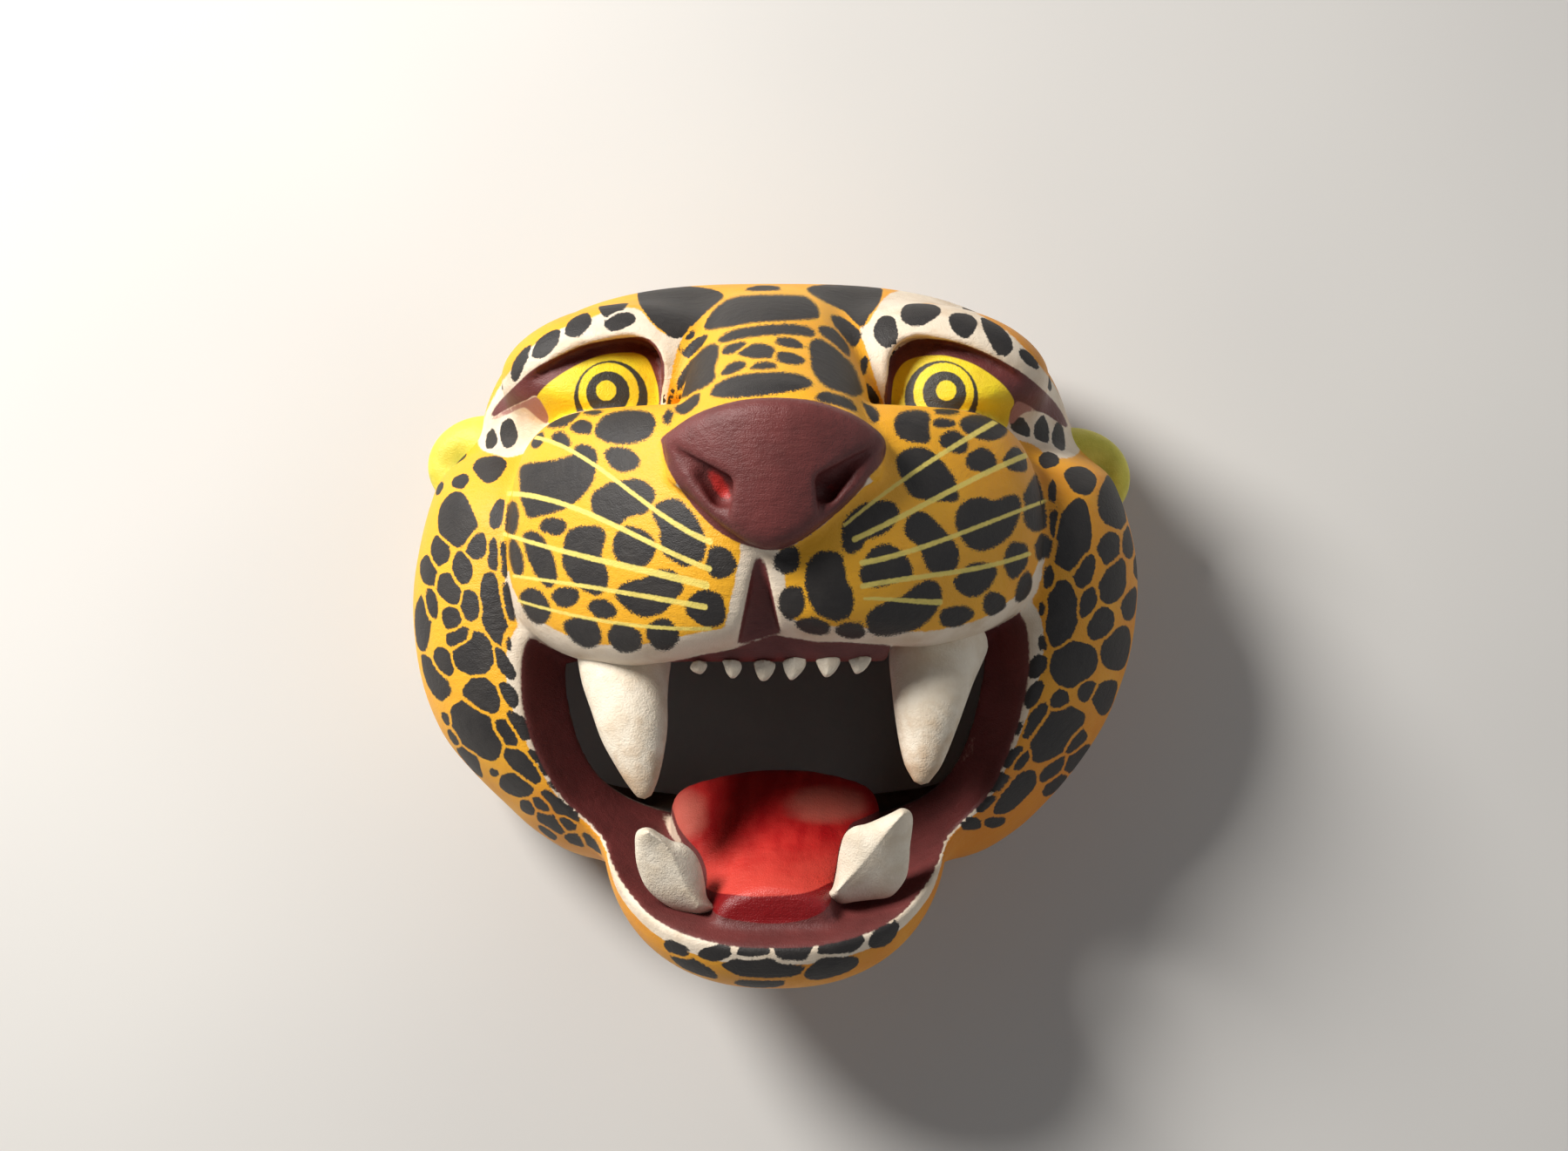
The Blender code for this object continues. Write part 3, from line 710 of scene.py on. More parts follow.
# The painted coat, read from the photograph. Each spot: middle (u, v), half width, half height and tilt
# in degrees
SPOTS = {
    "bridge": [
        (877, 331, 18, 3, 0), (842, 399, 13, 5.5, -22), (870, 403, 20, 8.5, 0),
        (906, 393, 14.5, 5.5, 18), (906, 411, 15.5, 7, 12), (842, 422, 14, 5.5, -20),
        (877, 420, 14, 4, 0), (800, 397, 16, 6, -45), (791, 387, 3, 12, 30), (791, 464, 17, 8, -38),
        (768, 475, 12, 4, -65), (771, 455, 10, 2.5, -70), (961, 390, 21, 8, 48), (969, 378, 20, 8, 52),
        (991, 420, 3, 10, 0), (1000, 452, 4, 12, -25), (964, 459, 24, 6, 22), (1000, 472, 14, 5, 58),
    ],
    "brow": [
        (711, 367, 16, 10, -12), (703, 350, 19, 8, -25), (664, 371, 17, 9, -38), (626, 394, 19, 9, -45),
        (596, 416, 21, 6, -62), (564, 505, 6, 12, 0), (584, 497, 10, 15, 0), (1017, 378, 13, 17, 0),
        (1056, 355, 21, 15, 0), (1106, 370, 15, 14, 0), (1145, 383, 25, 9, 50), (1182, 412, 14, 5, 45),
        (1196, 493, 8, 14, 0), (1215, 502, 7, 16, 0),
    ],
    "left pad": [
        (616.5, 504.5, 9, 10.5, 0), (667.5, 489.5, 13, 8, 8), (646.5, 480.5, 18.5, 6.5, -17),
        (680, 473, 11, 3, 5), (649, 685, 15, 11, 0), (827, 646, 16.5, 16.5, 0), (811, 699, 21, 20, 0),
        (717, 734, 18, 16.5, 8), (579, 642, 3.5, 20, -3),
    ],
    "right pad": [
        (1087.5, 471.5, 15, 3.5, 0), (1127, 471, 15, 3, 0), (1084, 485, 12.5, 5.5, 0),
        (1171, 489, 13, 8, 45), (1127, 528.5, 17, 13, 8), (1168.5, 527, 15.5, 14, 10),
        (1167.5, 642, 14, 19, 5), (904, 643, 12.5, 16, 20), (909, 692.5, 13.5, 19, 0),
        (934, 720, 17.5, 9.5, 12), (977, 725, 17, 9, 8), (1098, 708, 18.5, 12, -5),
        (1142, 693.5, 13.5, 13.5, 0), (1177, 675.5, 9.5, 16, 20), (1195.5, 627, 7, 15, 5),
    ],
    "left cheek": [
        (525, 530, 18, 6, -30), (528, 552, 10, 8, 0), (504, 560, 6, 8, 0), (522, 597, 22, 30, -15),
        (545, 625, 14, 15, 0), (571, 590, 7, 17, 10), (567, 637, 6.5, 18, 0), (504, 632, 10, 17, -10),
        (490, 655, 9, 18, -15), (530, 652, 11, 17, -10), (514, 675, 12, 18, -25),
        (493, 693, 9, 16, -15), (540, 695, 11, 16, -15), (566, 699, 13, 39, -8),
        (518, 710, 10, 14, -20), (483, 715, 9, 30, 0), (527, 733, 16, 12, 0), (542, 751, 24, 22, 0),
        (508, 760, 11, 16, -30), (584, 690, 5, 22, -8), (582, 735, 4, 10, -10), (579, 762, 7, 19, -30),
        (497, 778, 10, 29, -28), (552, 799, 17, 23, -45), (584, 797, 7, 16, -35),
        (596, 833, 8, 18, -38), (543, 840, 21, 38, -35), (580, 841, 9, 18, -42), (512, 825, 4, 8, -30),
        (521, 847, 5, 10, -38), (539, 874, 7, 20, -38), (600, 879, 12, 24, -45), (619, 875, 6, 18, -38),
        (567, 887, 5, 5, 0), (591, 902, 20, 12, 20), (605, 927, 10, 7, 40), (622, 925, 11, 7, 40),
        (640, 909, 4, 16, -40), (643, 925, 8, 26, -48), (631, 944, 17, 8, 38), (652, 945, 11, 7, 40),
        (629, 956, 11, 5, 38), (660, 964, 12, 6, 28), (680, 968, 4, 14, -40),
    ],
    "right cheek": [
        (1204, 527, 11, 11, 0), (1208, 566, 4, 15, 0), (1210, 600, 4, 20, 0), (1242, 549, 18, 16, 0),
        (1281, 575, 15, 30, -10), (1233, 615, 21, 38, 12), (1275, 629, 12, 19, 15),
        (1245, 654, 11, 20, 18), (1296, 622, 6, 18, 0), (1280, 667, 14, 26, 25), (1305, 651, 5, 13, 0),
        (1204, 663, 5, 14, 0), (1197, 699, 4, 9, 0), (1219, 705, 17, 37, 8), (1249, 691, 9, 17, 25),
        (1299, 693, 9, 19, 25), (1265, 716, 12, 20, 35), (1197, 737, 4, 10, 0), (1286, 746, 18, 25, 30),
        (1234, 762, 27, 24, -10), (1191, 765, 8, 15, 30), (1248, 793, 9, 12, 30),
        (1187, 797, 7, 17, 25), (1217, 804, 9, 13, 25), (1271, 801, 17, 19, 30), (1189, 828, 9, 22, 35),
        (1170, 836, 5, 9, 35), (1214, 842, 20, 38, 42), (1267, 837, 9, 16, 45), (1236, 851, 9, 16, 40),
        (1163, 869, 6, 14, 40), (1173, 873, 6, 12, 40), (1238, 872, 10, 20, 50), (1210, 884, 8, 18, 50),
        (1139, 901, 6, 17, 40), (1213, 901, 7, 18, 55), (1167, 910, 12, 30, 45), (1132, 921, 6, 15, 45),
        (1116, 946, 12, 6, 0), (1142, 944, 12, 6, 0),
    ],
    "chin": [
        (777, 1091, 15, 8, 30), (821, 1095, 18, 8, 0), (865, 1090, 18, 9, -5), (911, 1087, 21, 10, -5),
        (967, 1084, 26, 11, -12), (1016, 1074, 20, 9, -35), (877, 1113, 43, 11, 0),
        (955, 1112, 30, 11, -12), (795, 1110, 26, 7, 25), (872, 1130, 25, 5, 0),
    ],
}

# Spots of a less even shape, and the painted areas after them, as an outline each: u, v, u, v, and so on
OUTLINED = {
    "bridge": [
        (809, 376, 814, 364, 825, 351, 842, 342, 870, 339, 905, 339, 925, 341, 937, 351, 940, 360, 937, 365,
         915, 367, 870, 371, 835, 375, 817, 378),
        (824, 391, 835, 382, 855, 375, 880, 372, 905, 372, 925, 375, 935, 381, 932, 386, 915, 384, 890, 384,
         865, 386, 842, 390, 830, 393),
        (776, 456, 777, 440, 785, 425, 797, 410, 812, 397, 824, 396, 824, 410, 820, 422, 820, 435, 805, 446,
         787, 455),
        (930, 395, 937, 389, 950, 392, 965, 404, 980, 422, 987, 440, 990, 450, 982, 454, 967, 452, 947, 442,
         934, 427, 931, 410),
        (816, 452, 822, 442, 837, 434, 860, 429, 890, 427, 917, 430, 930, 437, 932, 442, 922, 446, 900, 450,
         870, 454, 837, 456, 822, 455),
        (733, 333, 745, 329, 802, 330, 830, 339, 812, 356, 796, 372, 784, 386, 771, 387, 762, 380, 750, 370,
         740, 357, 734, 347),
        (927, 331, 955, 327, 1007, 330, 1012, 337, 1007, 350, 995, 365, 990, 377, 982, 370, 970, 357,
         955, 350, 940, 342),
    ],
    "pads": [
        (598, 536, 615, 531, 633, 529, 650, 525, 659, 521, 660, 514, 668, 510, 680, 514, 685, 523, 684, 535,
         681, 550, 675, 561, 665, 572, 655, 580, 642, 586, 628, 590, 608, 594, 603, 585, 598, 572, 597, 555),
        (684, 491, 690, 481, 702, 474, 720, 471, 738, 472, 748, 476, 752, 485, 750, 494, 745, 501, 735, 506,
         720, 509, 702, 508, 690, 504, 683, 497),
        (694, 521, 700, 515, 712, 514, 724, 517, 732, 524, 734, 531, 729, 538, 719, 541, 710, 540, 701, 534),
        (680, 568, 690, 560, 702, 554, 715, 552, 730, 550, 742, 554, 750, 562, 751, 572, 746, 581, 740, 589,
         728, 591, 718, 595, 712, 602, 700, 601, 687, 595, 680, 585),
        (750, 585, 757, 577, 770, 573, 781, 575, 788, 582, 796, 590, 803, 602, 808, 612, 810, 625, 808, 640,
         800, 646, 786, 650, 775, 644, 762, 635, 759, 622, 757, 605, 751, 595),
        (704, 625, 706, 615, 715, 606, 725, 604, 737, 609, 748, 616, 753, 625, 751, 636, 744, 646, 734, 651,
         722, 650, 711, 644, 705, 635),
        (650, 615, 657, 607, 672, 604, 687, 605, 695, 612, 693, 625, 690, 637, 695, 650, 698, 662, 696, 675,
         687, 683, 676, 680, 662, 672, 654, 662, 647, 650, 646, 635, 648, 625),
        (619, 604, 626, 596, 639, 595, 649, 599, 650, 607, 642, 614, 631, 612, 622, 609),
        (600, 615, 607, 610, 618, 612, 626, 622, 634, 637, 638, 650, 639, 665, 632, 674, 624, 670, 614, 657,
         606, 640, 602, 625),
        (581, 590, 584, 579, 589, 575, 594, 582, 595, 595, 593, 607, 589, 614, 581, 610, 580, 600),
        (585, 622, 591, 620, 597, 630, 601, 645, 600, 657, 595, 662, 589, 655, 585, 640),
        (599, 680, 610, 675, 622, 681, 630, 694, 632, 705, 626, 714, 617, 716, 606, 708, 600, 695, 597, 687),
        (675, 696, 682, 689, 695, 689, 704, 696, 708, 704, 700, 709, 687, 709, 679, 702),
        (706, 680, 715, 671, 726, 667, 740, 664, 752, 657, 762, 654, 775, 657, 781, 666, 784, 676, 776, 686,
         768, 696, 758, 704, 742, 708, 729, 705, 719, 698, 710, 689),
        (648, 715, 660, 709, 680, 711, 688, 721, 690, 732, 685, 741, 672, 743, 659, 736, 650, 725),
        (742, 722, 750, 714, 762, 710, 772, 716, 779, 727, 777, 737, 768, 745, 755, 745, 745, 735),
        (634, 500, 642, 494, 650, 499, 655, 509, 649, 515, 641, 510, 635, 506),
        (1027, 487, 1030, 477, 1040, 472, 1055, 471, 1065, 474, 1068, 482, 1066, 492, 1067, 506, 1055, 508,
         1040, 505, 1030, 499),
        (1102, 485, 1110, 478, 1125, 476, 1140, 479, 1151, 484, 1156, 494, 1151, 501, 1140, 505, 1127, 504,
         1115, 500, 1106, 494),
        (1079, 504, 1085, 497, 1095, 494, 1105, 500, 1111, 511, 1107, 519, 1097, 520, 1086, 515, 1080, 510),
        (1029, 530, 1034, 520, 1045, 515, 1060, 514, 1072, 521, 1082, 531, 1091, 542, 1097, 552, 1098, 562,
         1101, 570, 1097, 575, 1082, 575, 1069, 574, 1055, 572, 1044, 566, 1037, 552, 1032, 541),
        (1176, 567, 1182, 555, 1190, 543, 1200, 543, 1206, 555, 1207, 572, 1206, 590, 1201, 604, 1190, 610,
         1180, 605, 1175, 592, 1178, 580, 1175, 574),
        (1097, 595, 1102, 582, 1112, 574, 1127, 571, 1142, 575, 1155, 570, 1167, 569, 1172, 577, 1170, 590,
         1165, 605, 1156, 618, 1142, 627, 1127, 632, 1115, 629, 1105, 619, 1099, 607),
        (969, 600, 976, 590, 987, 581, 1000, 576, 1012, 575, 1025, 577, 1032, 587, 1027, 600, 1015, 612,
         1002, 617, 993, 620, 989, 629, 978, 635, 970, 632, 967, 622, 967, 610),
        (1039, 602, 1045, 592, 1056, 587, 1067, 592, 1076, 601, 1086, 611, 1094, 621, 1100, 632, 1100, 645,
         1094, 655, 1080, 657, 1067, 655, 1062, 645, 1057, 632, 1050, 622, 1040, 614),
        (990, 650, 997, 635, 1007, 627, 1020, 625, 1032, 631, 1041, 641, 1047, 652, 1045, 662, 1030, 667,
         1015, 672, 1002, 674, 992, 670, 987, 660),
        (1095, 667, 1105, 656, 1112, 649, 1125, 646, 1140, 649, 1144, 656, 1140, 667, 1130, 680, 1115, 685,
         1104, 681, 1097, 674),
        (994, 717, 997, 705, 1007, 696, 1025, 689, 1040, 682, 1052, 672, 1067, 666, 1077, 671, 1081, 682,
         1077, 696, 1070, 707, 1055, 720, 1040, 725, 1022, 729, 1007, 729, 996, 724),
        (925, 657, 930, 642, 940, 634, 955, 633, 965, 636, 969, 650, 972, 667, 979, 682, 978, 700, 970, 711,
         955, 712, 940, 706, 931, 692, 925, 675),
    ],
    "left cheek": [
        (543, 536, 550, 527, 562, 524, 575, 525, 581, 532, 577, 542, 569, 551, 559, 554, 550, 547),
    ],
}
BROW_WHITES = [
    (551, 514, 552, 495, 556, 478, 569, 452, 588, 422, 611, 398, 640, 380, 662, 371, 697, 358, 722, 353,
     736, 358, 755, 378, 775, 388, 784, 382, 778, 400, 770, 432, 764, 465, 762, 490, 700, 500, 640, 505,
     604, 520, 580, 524),
    (1238, 520, 1231, 480, 1216, 450, 1190, 415, 1160, 385, 1125, 361, 1093, 346, 1061, 336, 1032, 334,
     1014, 343, 997, 370, 987, 378, 994, 398, 1004, 430, 1012, 458, 1019, 475, 1022, 500, 1090, 505,
     1150, 502, 1185, 510, 1205, 524),
]
LIDS = [
    (564, 479, 570, 465, 589, 445, 612, 424, 640, 409, 670, 396, 700, 390, 725, 387, 740, 387, 753, 396,
     761, 412, 763, 430, 760, 450, 756, 475, 740, 480, 640, 480, 617, 455, 605, 459, 591, 465, 578, 472),
    (1021, 475, 1020, 425, 1025, 407, 1037, 396, 1050, 390, 1072, 389, 1095, 392, 1120, 400, 1150, 414,
     1175, 429, 1200, 450, 1217, 470, 1226, 491, 1215, 485, 1200, 475, 1190, 472, 1176, 466, 1160, 480,
     1100, 490),
]
LOWER_LIDS = [
    (1158, 484, 1161, 472, 1167, 461, 1176, 463, 1188, 471, 1178, 473, 1170, 478, 1163, 486),
    (564, 481, 578, 472, 592, 465, 606, 459, 617, 456, 629, 476, 627, 486, 615, 478, 603, 468, 592, 471,
     578, 478),
]
EYEBALLS = [
    (615, 459, 624, 445, 640, 432, 660, 420, 680, 411, 700, 406, 728, 405, 743, 412, 752, 432, 756, 450,
     756, 470, 752, 500, 700, 505, 645, 505, 628, 484, 620, 472),
    (1023, 466, 1024, 450, 1027, 432, 1037, 417, 1052, 410, 1070, 408, 1090, 409, 1120, 419, 1150, 440,
     1164, 460, 1160, 472, 1156, 490, 1140, 505, 1090, 508, 1030, 503, 1022, 485),
]
EYE_MIDDLES = [(697, 448), (1085, 448)]
NOSE_DRAWN = (
    761, 501, 790, 482, 830, 465, 867, 459, 892, 457, 930, 459, 967, 470, 995, 485, 1016, 506, 1013, 530,
    990, 555, 960, 588, 925, 613, 890, 628, 860, 627, 825, 610, 795, 580, 768, 540, 760, 512,
)
TONGUE_DRAWN = (
    767, 913, 772, 928, 779, 949, 790, 964, 803, 979, 811, 1000, 811, 1024, 816, 1040, 824, 1050, 850, 1057,
    886, 1060, 918, 1057, 942, 1048, 953, 1036, 956, 1015, 960, 994, 964, 970, 971, 955, 979, 944, 995, 937,
    1012, 929, 1022, 925, 1013, 905, 982, 870, 880, 850, 790, 870, 772, 890,
)
# The front face of the tongue, which is painted darker red as shade
TONGUE_FRONT = (
    805, 1018, 820, 1024, 844, 1027, 868, 1029, 910, 1027, 934, 1022, 960, 1013, 970, 1046, 946, 1062,
    886, 1074, 818, 1064, 803, 1042,
)
FLOOR_STRIPS = [
    (744, 903, 762, 910, 780, 910, 770, 925, 772, 940, 777, 955, 785, 972, 772, 962, 760, 938),
    (1116, 835, 1110, 858, 1090, 878, 1070, 895, 1045, 912, 1025, 920, 1003, 922, 1020, 934, 1035, 931,
     1050, 923, 1077, 901, 1097, 884, 1117, 862),
]
# Each whisker from its outer end to the nose
WHISKERS = [
    [
        (608, 503.7), (622.5, 502), (640, 506), (660, 520), (680, 533.7), (700, 547.5), (720, 562.5),
        (740, 577), (755, 586), (772.5, 597.5), (790, 610), (815, 622.5),
    ],
    [
        (582.5, 568), (600, 565), (620, 570), (645, 580), (670, 589), (695, 597.5), (715, 606),
        (735, 616), (752.5, 626), (772.5, 636), (790, 645), (814, 652),
    ],
    [
        (579, 612.5), (590, 616), (610, 624), (632.5, 629), (655, 634), (700, 645), (740, 655),
        (780, 665), (810, 671),
    ],
    [
        (590, 661), (615, 664), (640, 669), (665, 672.5), (690, 675), (715, 679), (740, 685),
        (790, 694), (809, 696),
    ],
    [
        (595, 689), (615, 696), (640, 702.5), (680, 710), (720, 716), (765, 721), (790, 722.5),
        (815, 721),
    ],
    [
        (1146, 482.5), (1130, 491), (1102.5, 507.5), (1075, 525), (1050, 542.5), (1030, 555),
        (1010, 570), (970, 602.5),
    ],
    [
        (1191, 517.5), (1155, 532.5), (1120, 549), (1100, 557.5), (1080, 570), (1040, 590), (1000, 610),
        (981, 619),
    ],
    [
        (1207.5, 572.5), (1172.5, 585), (1135, 600), (1095, 615), (1055, 629), (1015, 641), (990, 646),
    ],
    [
        (1181, 636), (1162.5, 641), (1140, 649), (1100, 656), (1060, 661), (1015, 669), (990, 672.5),
    ],
    [
        (1079, 691), (1050, 690), (1015, 687.5), (992.5, 687),
    ],
]
# Half width of each at its outer end and at the nose, in pixels
WHISKER_HALVES = [
    (1.8, 3.2), (2.6, 3.2), (2.0, 4.6), (1.6, 3.4), (1.6, 2.2), (3.0, 2.0), (3.0, 3.2), (2.0, 3.2),
    (2.6, 3.0), (3.4, 1.6),
]

FACE_FROM_MASK = np.array(FACE_TO_MASK.inverted())
# Width of the ground that is left between two spots, in units, and how much the oval ones are enlarged
SPOT_GAP = 1.6
SPOT_GROWTH = 1.07
# The black spots lie in this many groups, in which no two spots are neighbours
SPOT_GROUPS = 4
# Distances to painted edges are measured and stored up to here, in units
FAR_AWAY = 12.0
FURTHEST_STORED = 6


def in_face(points):
    return points @ FACE_FROM_MASK[:3, :3].T + FACE_FROM_MASK[:3, 3]


def spot_distance(points, middle, across, up, halves, wobble, limit=None):
    """Distance in units to a painted oval, negative inside; across and up lie along its axes."""
    offset = points - middle
    a, b = halves
    p = offset @ across / a
    q = offset @ up / b
    turn = np.arctan2(q, p)
    ragged = 1 + wobble[0] * np.sin(2 * turn + wobble[3]) + wobble[1] * np.sin(3 * turn + wobble[4])
    ragged = ragged + wobble[2] * np.sin(5 * turn + wobble[5])
    away = offset @ limit if limit is not None else 0
    level = np.sqrt(p * p + q * q + away**2) / ragged
    slope = np.sqrt((p / a) ** 2 + (q / b) ** 2) + 1e-6
    return level * (level - 1) / slope


def painted_spots(points, normals, outside, tree, drawn):
    """Signed distances to the nearest black spot of each group."""
    chance = np.random.default_rng(7)
    groups = np.full((SPOT_GROUPS, len(points)), FAR_AWAY)

    def put(near, distance):
        """Adds a spot to the group whose other spots are furthest from it."""
        close = distance < 3
        if close.any():
            rivals = groups[:, near[close]].min(axis=1)
            chosen = int(np.argmax(rivals))
            groups[chosen, near] = np.minimum(groups[chosen, near], distance)

    def add(middle, normal, across, up, halves, limit):
        wobble = np.array([0.05, 0.05, 0.025, *chance.uniform(0, 6.28, 3)])
        reach = 2.2 * max(halves) * 1.3 + 14
        offset = points - middle
        near = np.flatnonzero((np.einsum("ij,ij->i", offset, offset) < reach**2) & (normals @ normal > 0.15))
        put(near, spot_distance(points[near], middle, across, up, halves, wobble, limit))

    eye = Vector(VIEWER)
    for group in SPOTS.values():
        for u, v, half_wide, half_high, tilt in group:
            aim = Vector(at_pixel(u, v, 0.0)) - eye
            place, normal, _, _ = tree.ray_cast(eye, aim)
            if place is None:
                continue
            middle = np.array(place)
            normal = np.array(normal)
            scale = FOCAL_PIXELS / (VIEWER[2] - middle[2])
            # How a step along the surface moves on the photograph, in pixels
            right = np.array([1, 0, (middle[0] - VIEWER[0]) / (VIEWER[2] - middle[2])]) * scale
            down = -np.array([0, 1, middle[1] / (VIEWER[2] - middle[2])]) * scale
            flat = np.eye(3) - np.outer(normal, normal)
            c, s = math.cos(math.radians(tilt)), math.sin(math.radians(tilt))
            across = flat @ (c * right + s * down) / scale
            up = flat @ (-s * right + c * down) / scale
            halves = (SPOT_GROWTH * half_wide / scale, SPOT_GROWTH * half_high / scale)
            limit = flat @ np.array([0, 0, 1.0]) / (2.2 * max(halves))
            add(middle, normal, across, up, halves, limit)
    for distance in drawn:
        near = np.flatnonzero(distance < 11)
        put(near, distance[near])
    # Spots of the same kind on the sides that the photograph doesn't show
    order = chance.permutation(np.flatnonzero(outside))
    for size, tries, gap in ((11.5, 2500, 3.2), (9, 3500, 3.0), (6.5, 5000, 2.6), (4.5, 5000, 2.4)):
        for index in order[:tries]:
            mean = size * chance.uniform(0.85, 1.1)
            if groups[:, index].min() < mean + gap or not hidden(points[index], normals[index], tree):
                continue
            normal = normals[index]
            across = np.cross(normal, chance.normal(size=3))
            across /= np.linalg.norm(across)
            up = np.cross(normal, across)
            longer = chance.uniform(1.0, 1.25)
            add(points[index], normal, across, up, (mean * longer, mean / longer), None)
        order = np.roll(order, -tries)
    return groups


def hidden(place, normal, tree):
    """True where the photograph doesn't show this place of the surface, nor what is close to it."""
    towards = Vector(VIEWER) - Vector(place)
    if normal @ np.array(towards.normalized()) < -0.12:
        return True
    start = Vector(place) + Vector(normal) * 0.5
    return tree.ray_cast(start, towards.normalized(), 900)[0] is not None


def store(mesh, name, values):
    attribute = mesh.attributes.new(name, "FLOAT", "POINT")
    attribute.data.foreach_set("value", np.ascontiguousarray(values, np.float32))


def store_vector(mesh, name, values):
    attribute = mesh.attributes.new(name, "FLOAT_VECTOR", "POINT")
    attribute.data.foreach_set("vector", np.ascontiguousarray(values, np.float32).ravel())


def drawn_area(u, v, reach, outline):
    """Distance in units to a painted area's outline, negative inside and kept short away from it."""
    loop = curve_through(np.reshape(outline, (-1, 2)), mirrored=False)
    low, high = loop.min(0) - 40, loop.max(0) + 40
    near = (u > low[0]) & (u < high[0]) & (v > low[1]) & (v < high[1])
    distance = np.full(len(u), FAR_AWAY)
    distance[near] = outline_distance(u[near], v[near], loop) * reach[near]
    return distance


def nearest_area(u, v, reach, outlines):
    return np.min([drawn_area(u, v, reach, outline) for outline in outlines], axis=0)


def paint_head(mesh):
    points = in_face(vertex_array(mesh))
    normals = vertex_array(mesh, "normal") @ FACE_FROM_MASK[:3, :3].T
    normals /= np.linalg.norm(normals, axis=1)[:, None]
    x, y, z = points.T
    reach = (VIEWER[2] - z) / FOCAL_PIXELS
    u, v = drawn_at(x, y, z)
    towards = np.array(VIEWER) - points
    towards /= np.linalg.norm(towards, axis=1)[:, None]
    facing = np.einsum("ij,ij->i", towards, normals)

    level = evened(x, y)
    side = abs(x)
    on_pads = pads(side, level, z)
    on_nose = nose(side, level, z)
    on_bridge = bridge(side, level, z)
    on_gum = gum(side, y, z)
    on_tongue = tongue(side, level, z)
    in_groove = philtrum(x, level, z)
    roof = mouth_roof(side, level, z)
    gate = mouth_gate(side, level, z)
    hollow = hollow_field(x, level, z)
    pad_edge = outline_distance(side, level, curve_through(PAD_OUTLINE))

    off_pads = 1.2 - on_pads
    unseen = (0.02 - facing) * 40

    def painted(outlines):
        """Drawn areas, only where the photograph shows them, and not on the pads."""
        return within(nearest_area(u, v, reach, outlines), unseen, off_pads)

    # Bare wood: the hollow and the flat of the rim
    inside = within(abs(hollow) - 1.5, z - 80)
    bare = within(any_of(inside, vertex_array(mesh)[:, 2] * 1000 - 0.4), 2 - on_tongue)

    # White: over the eyes, round the mouth, under the pads and along the groove between them
    band = between(6.5, 2.0, ramp(level, -24, -80)) + 7 * ramp(level, -110, -126)
    border = -pad_edge - between(1.5, between(8.6, 6.4, ramp(x, -20, 20)), ramp(level, 6, -18))
    strip = abs(x + 5.5) - 0.21 * np.maximum(8 - level, 0) - 1 - 6.3
    white = any_of(
        painted(BROW_WHITES),
        within(gate - band, off_pads),
        within(border, level - 6, on_pads - 1.2),
        within(strip, level - 15, on_pads - 1.2),
    )

    # Maroon: the nose as drawn and as carved, the mouth, the groove, the gum, the palate and the lids
    maroon = any_of(
        within(drawn_area(u, v, reach, NOSE_DRAWN), 80 - z, unseen),
        within(on_nose - 0.6, abs(level - 36) - 32),
        within(gate - 0.8, off_pads),
        within(in_groove - 0.7, -40 - level),
        on_gum - 0.7,
        within(abs(roof) - 1.2, on_pads - 1.2),
        painted(LIDS),
    )
    in_mouth = within(gate + 0.3, -9 - z)

    shape = BVHTree.FromPolygons(
        [tuple(point) for point in points], [tuple(face.vertices) for face in mesh.polygons], epsilon=0.0
    )
    outside = (bare > 3) & (gate > 3) & (on_pads > 2) & (on_bridge > -5) & (abs(hollow) > 3) & (maroon > 3)
    beside = {"bridge": off_pads, "pads": on_pads - 1.5, "left cheek": off_pads}
    drawn = [
        within(drawn_area(u, v, reach, outline), unseen, beside[group])
        for group, outlines in OUTLINED.items()
        for outline in outlines
    ]
    spots = painted_spots(points, normals, outside, shape, drawn)

    areas = {
        "white": white,
        "maroon": maroon,
        "bare": bare,
        "eyeball": painted(EYEBALLS),
        "pale": within(nearest_area(u, v, reach, FLOOR_STRIPS), in_mouth),
        "tongue": within(drawn_area(u, v, reach, TONGUE_DRAWN), in_mouth, abs(level + 84) - 62),
        # The tongue's front face, painted darker as shade
        "step": within(drawn_area(u, v, reach, TONGUE_FRONT), 40 - z),
        "lower_lid": painted(LOWER_LIDS),
    }
    for number, group in enumerate(spots):
        areas[f"spots_{number}"] = group
    for name, distance in areas.items():
        store(mesh, name, np.clip(distance, -FURTHEST_STORED, FURTHEST_STORED))
    store(mesh, "hairy", np.clip(np.maximum(1.5 - on_pads / 2, 1 - on_bridge / 2), 0, 1))
    store(mesh, "pads", (on_pads < 1.5) & (facing > 0.1) & (abs(roof) > 1.5))
    # Where the ground turns darker orange, to the right, below and towards the crown: partly the paint's own
    # tone, partly painted shade on the right side and the lower parts
    ground_tone_and_shade = 0.55 * ramp(x, -20, 150) + 0.5 * ramp(y, -10, -110) + 0.25 * ramp(y, 60, 110)
    store(mesh, "warmth", np.clip(ground_tone_and_shade, 0, 1))
    glow = np.exp(-(((u - 826 - 0.5 * (v - 556)) / 10) ** 2 + ((v - 556) / 19) ** 2) ** 1.3)
    glow += 0.4 * np.exp(-(((u - 956) / 12) ** 2 + ((v - 560) / 12) ** 2) ** 1.3)
    store(mesh, "nostril", np.where(z > 80, glow, 0))
    mirrored = np.where(x > 0, -1, 1)
    (left_u, left_v), (right_u, right_v) = EYE_MIDDLES
    middle_u, middle_v = np.where(x > 0, right_u, left_u), np.where(x > 0, right_v, left_v)
    store_vector(mesh, "iris", np.stack([(u - middle_u) * mirrored, v - middle_v, 0 * u], 1))
    store_vector(mesh, "drawing", np.stack([u, v, 0 * u], 1))


paint_head(head.data)


def linear(red, green, blue):
    """A colour as it looks on a screen, 0 to 255, as the light that it reflects."""
    channels = [value / 255 for value in (red, green, blue)]
    return (*[c / 12.92 if c <= 0.04045 else ((c + 0.055) / 1.055) ** 2.4 for c in channels], 1)


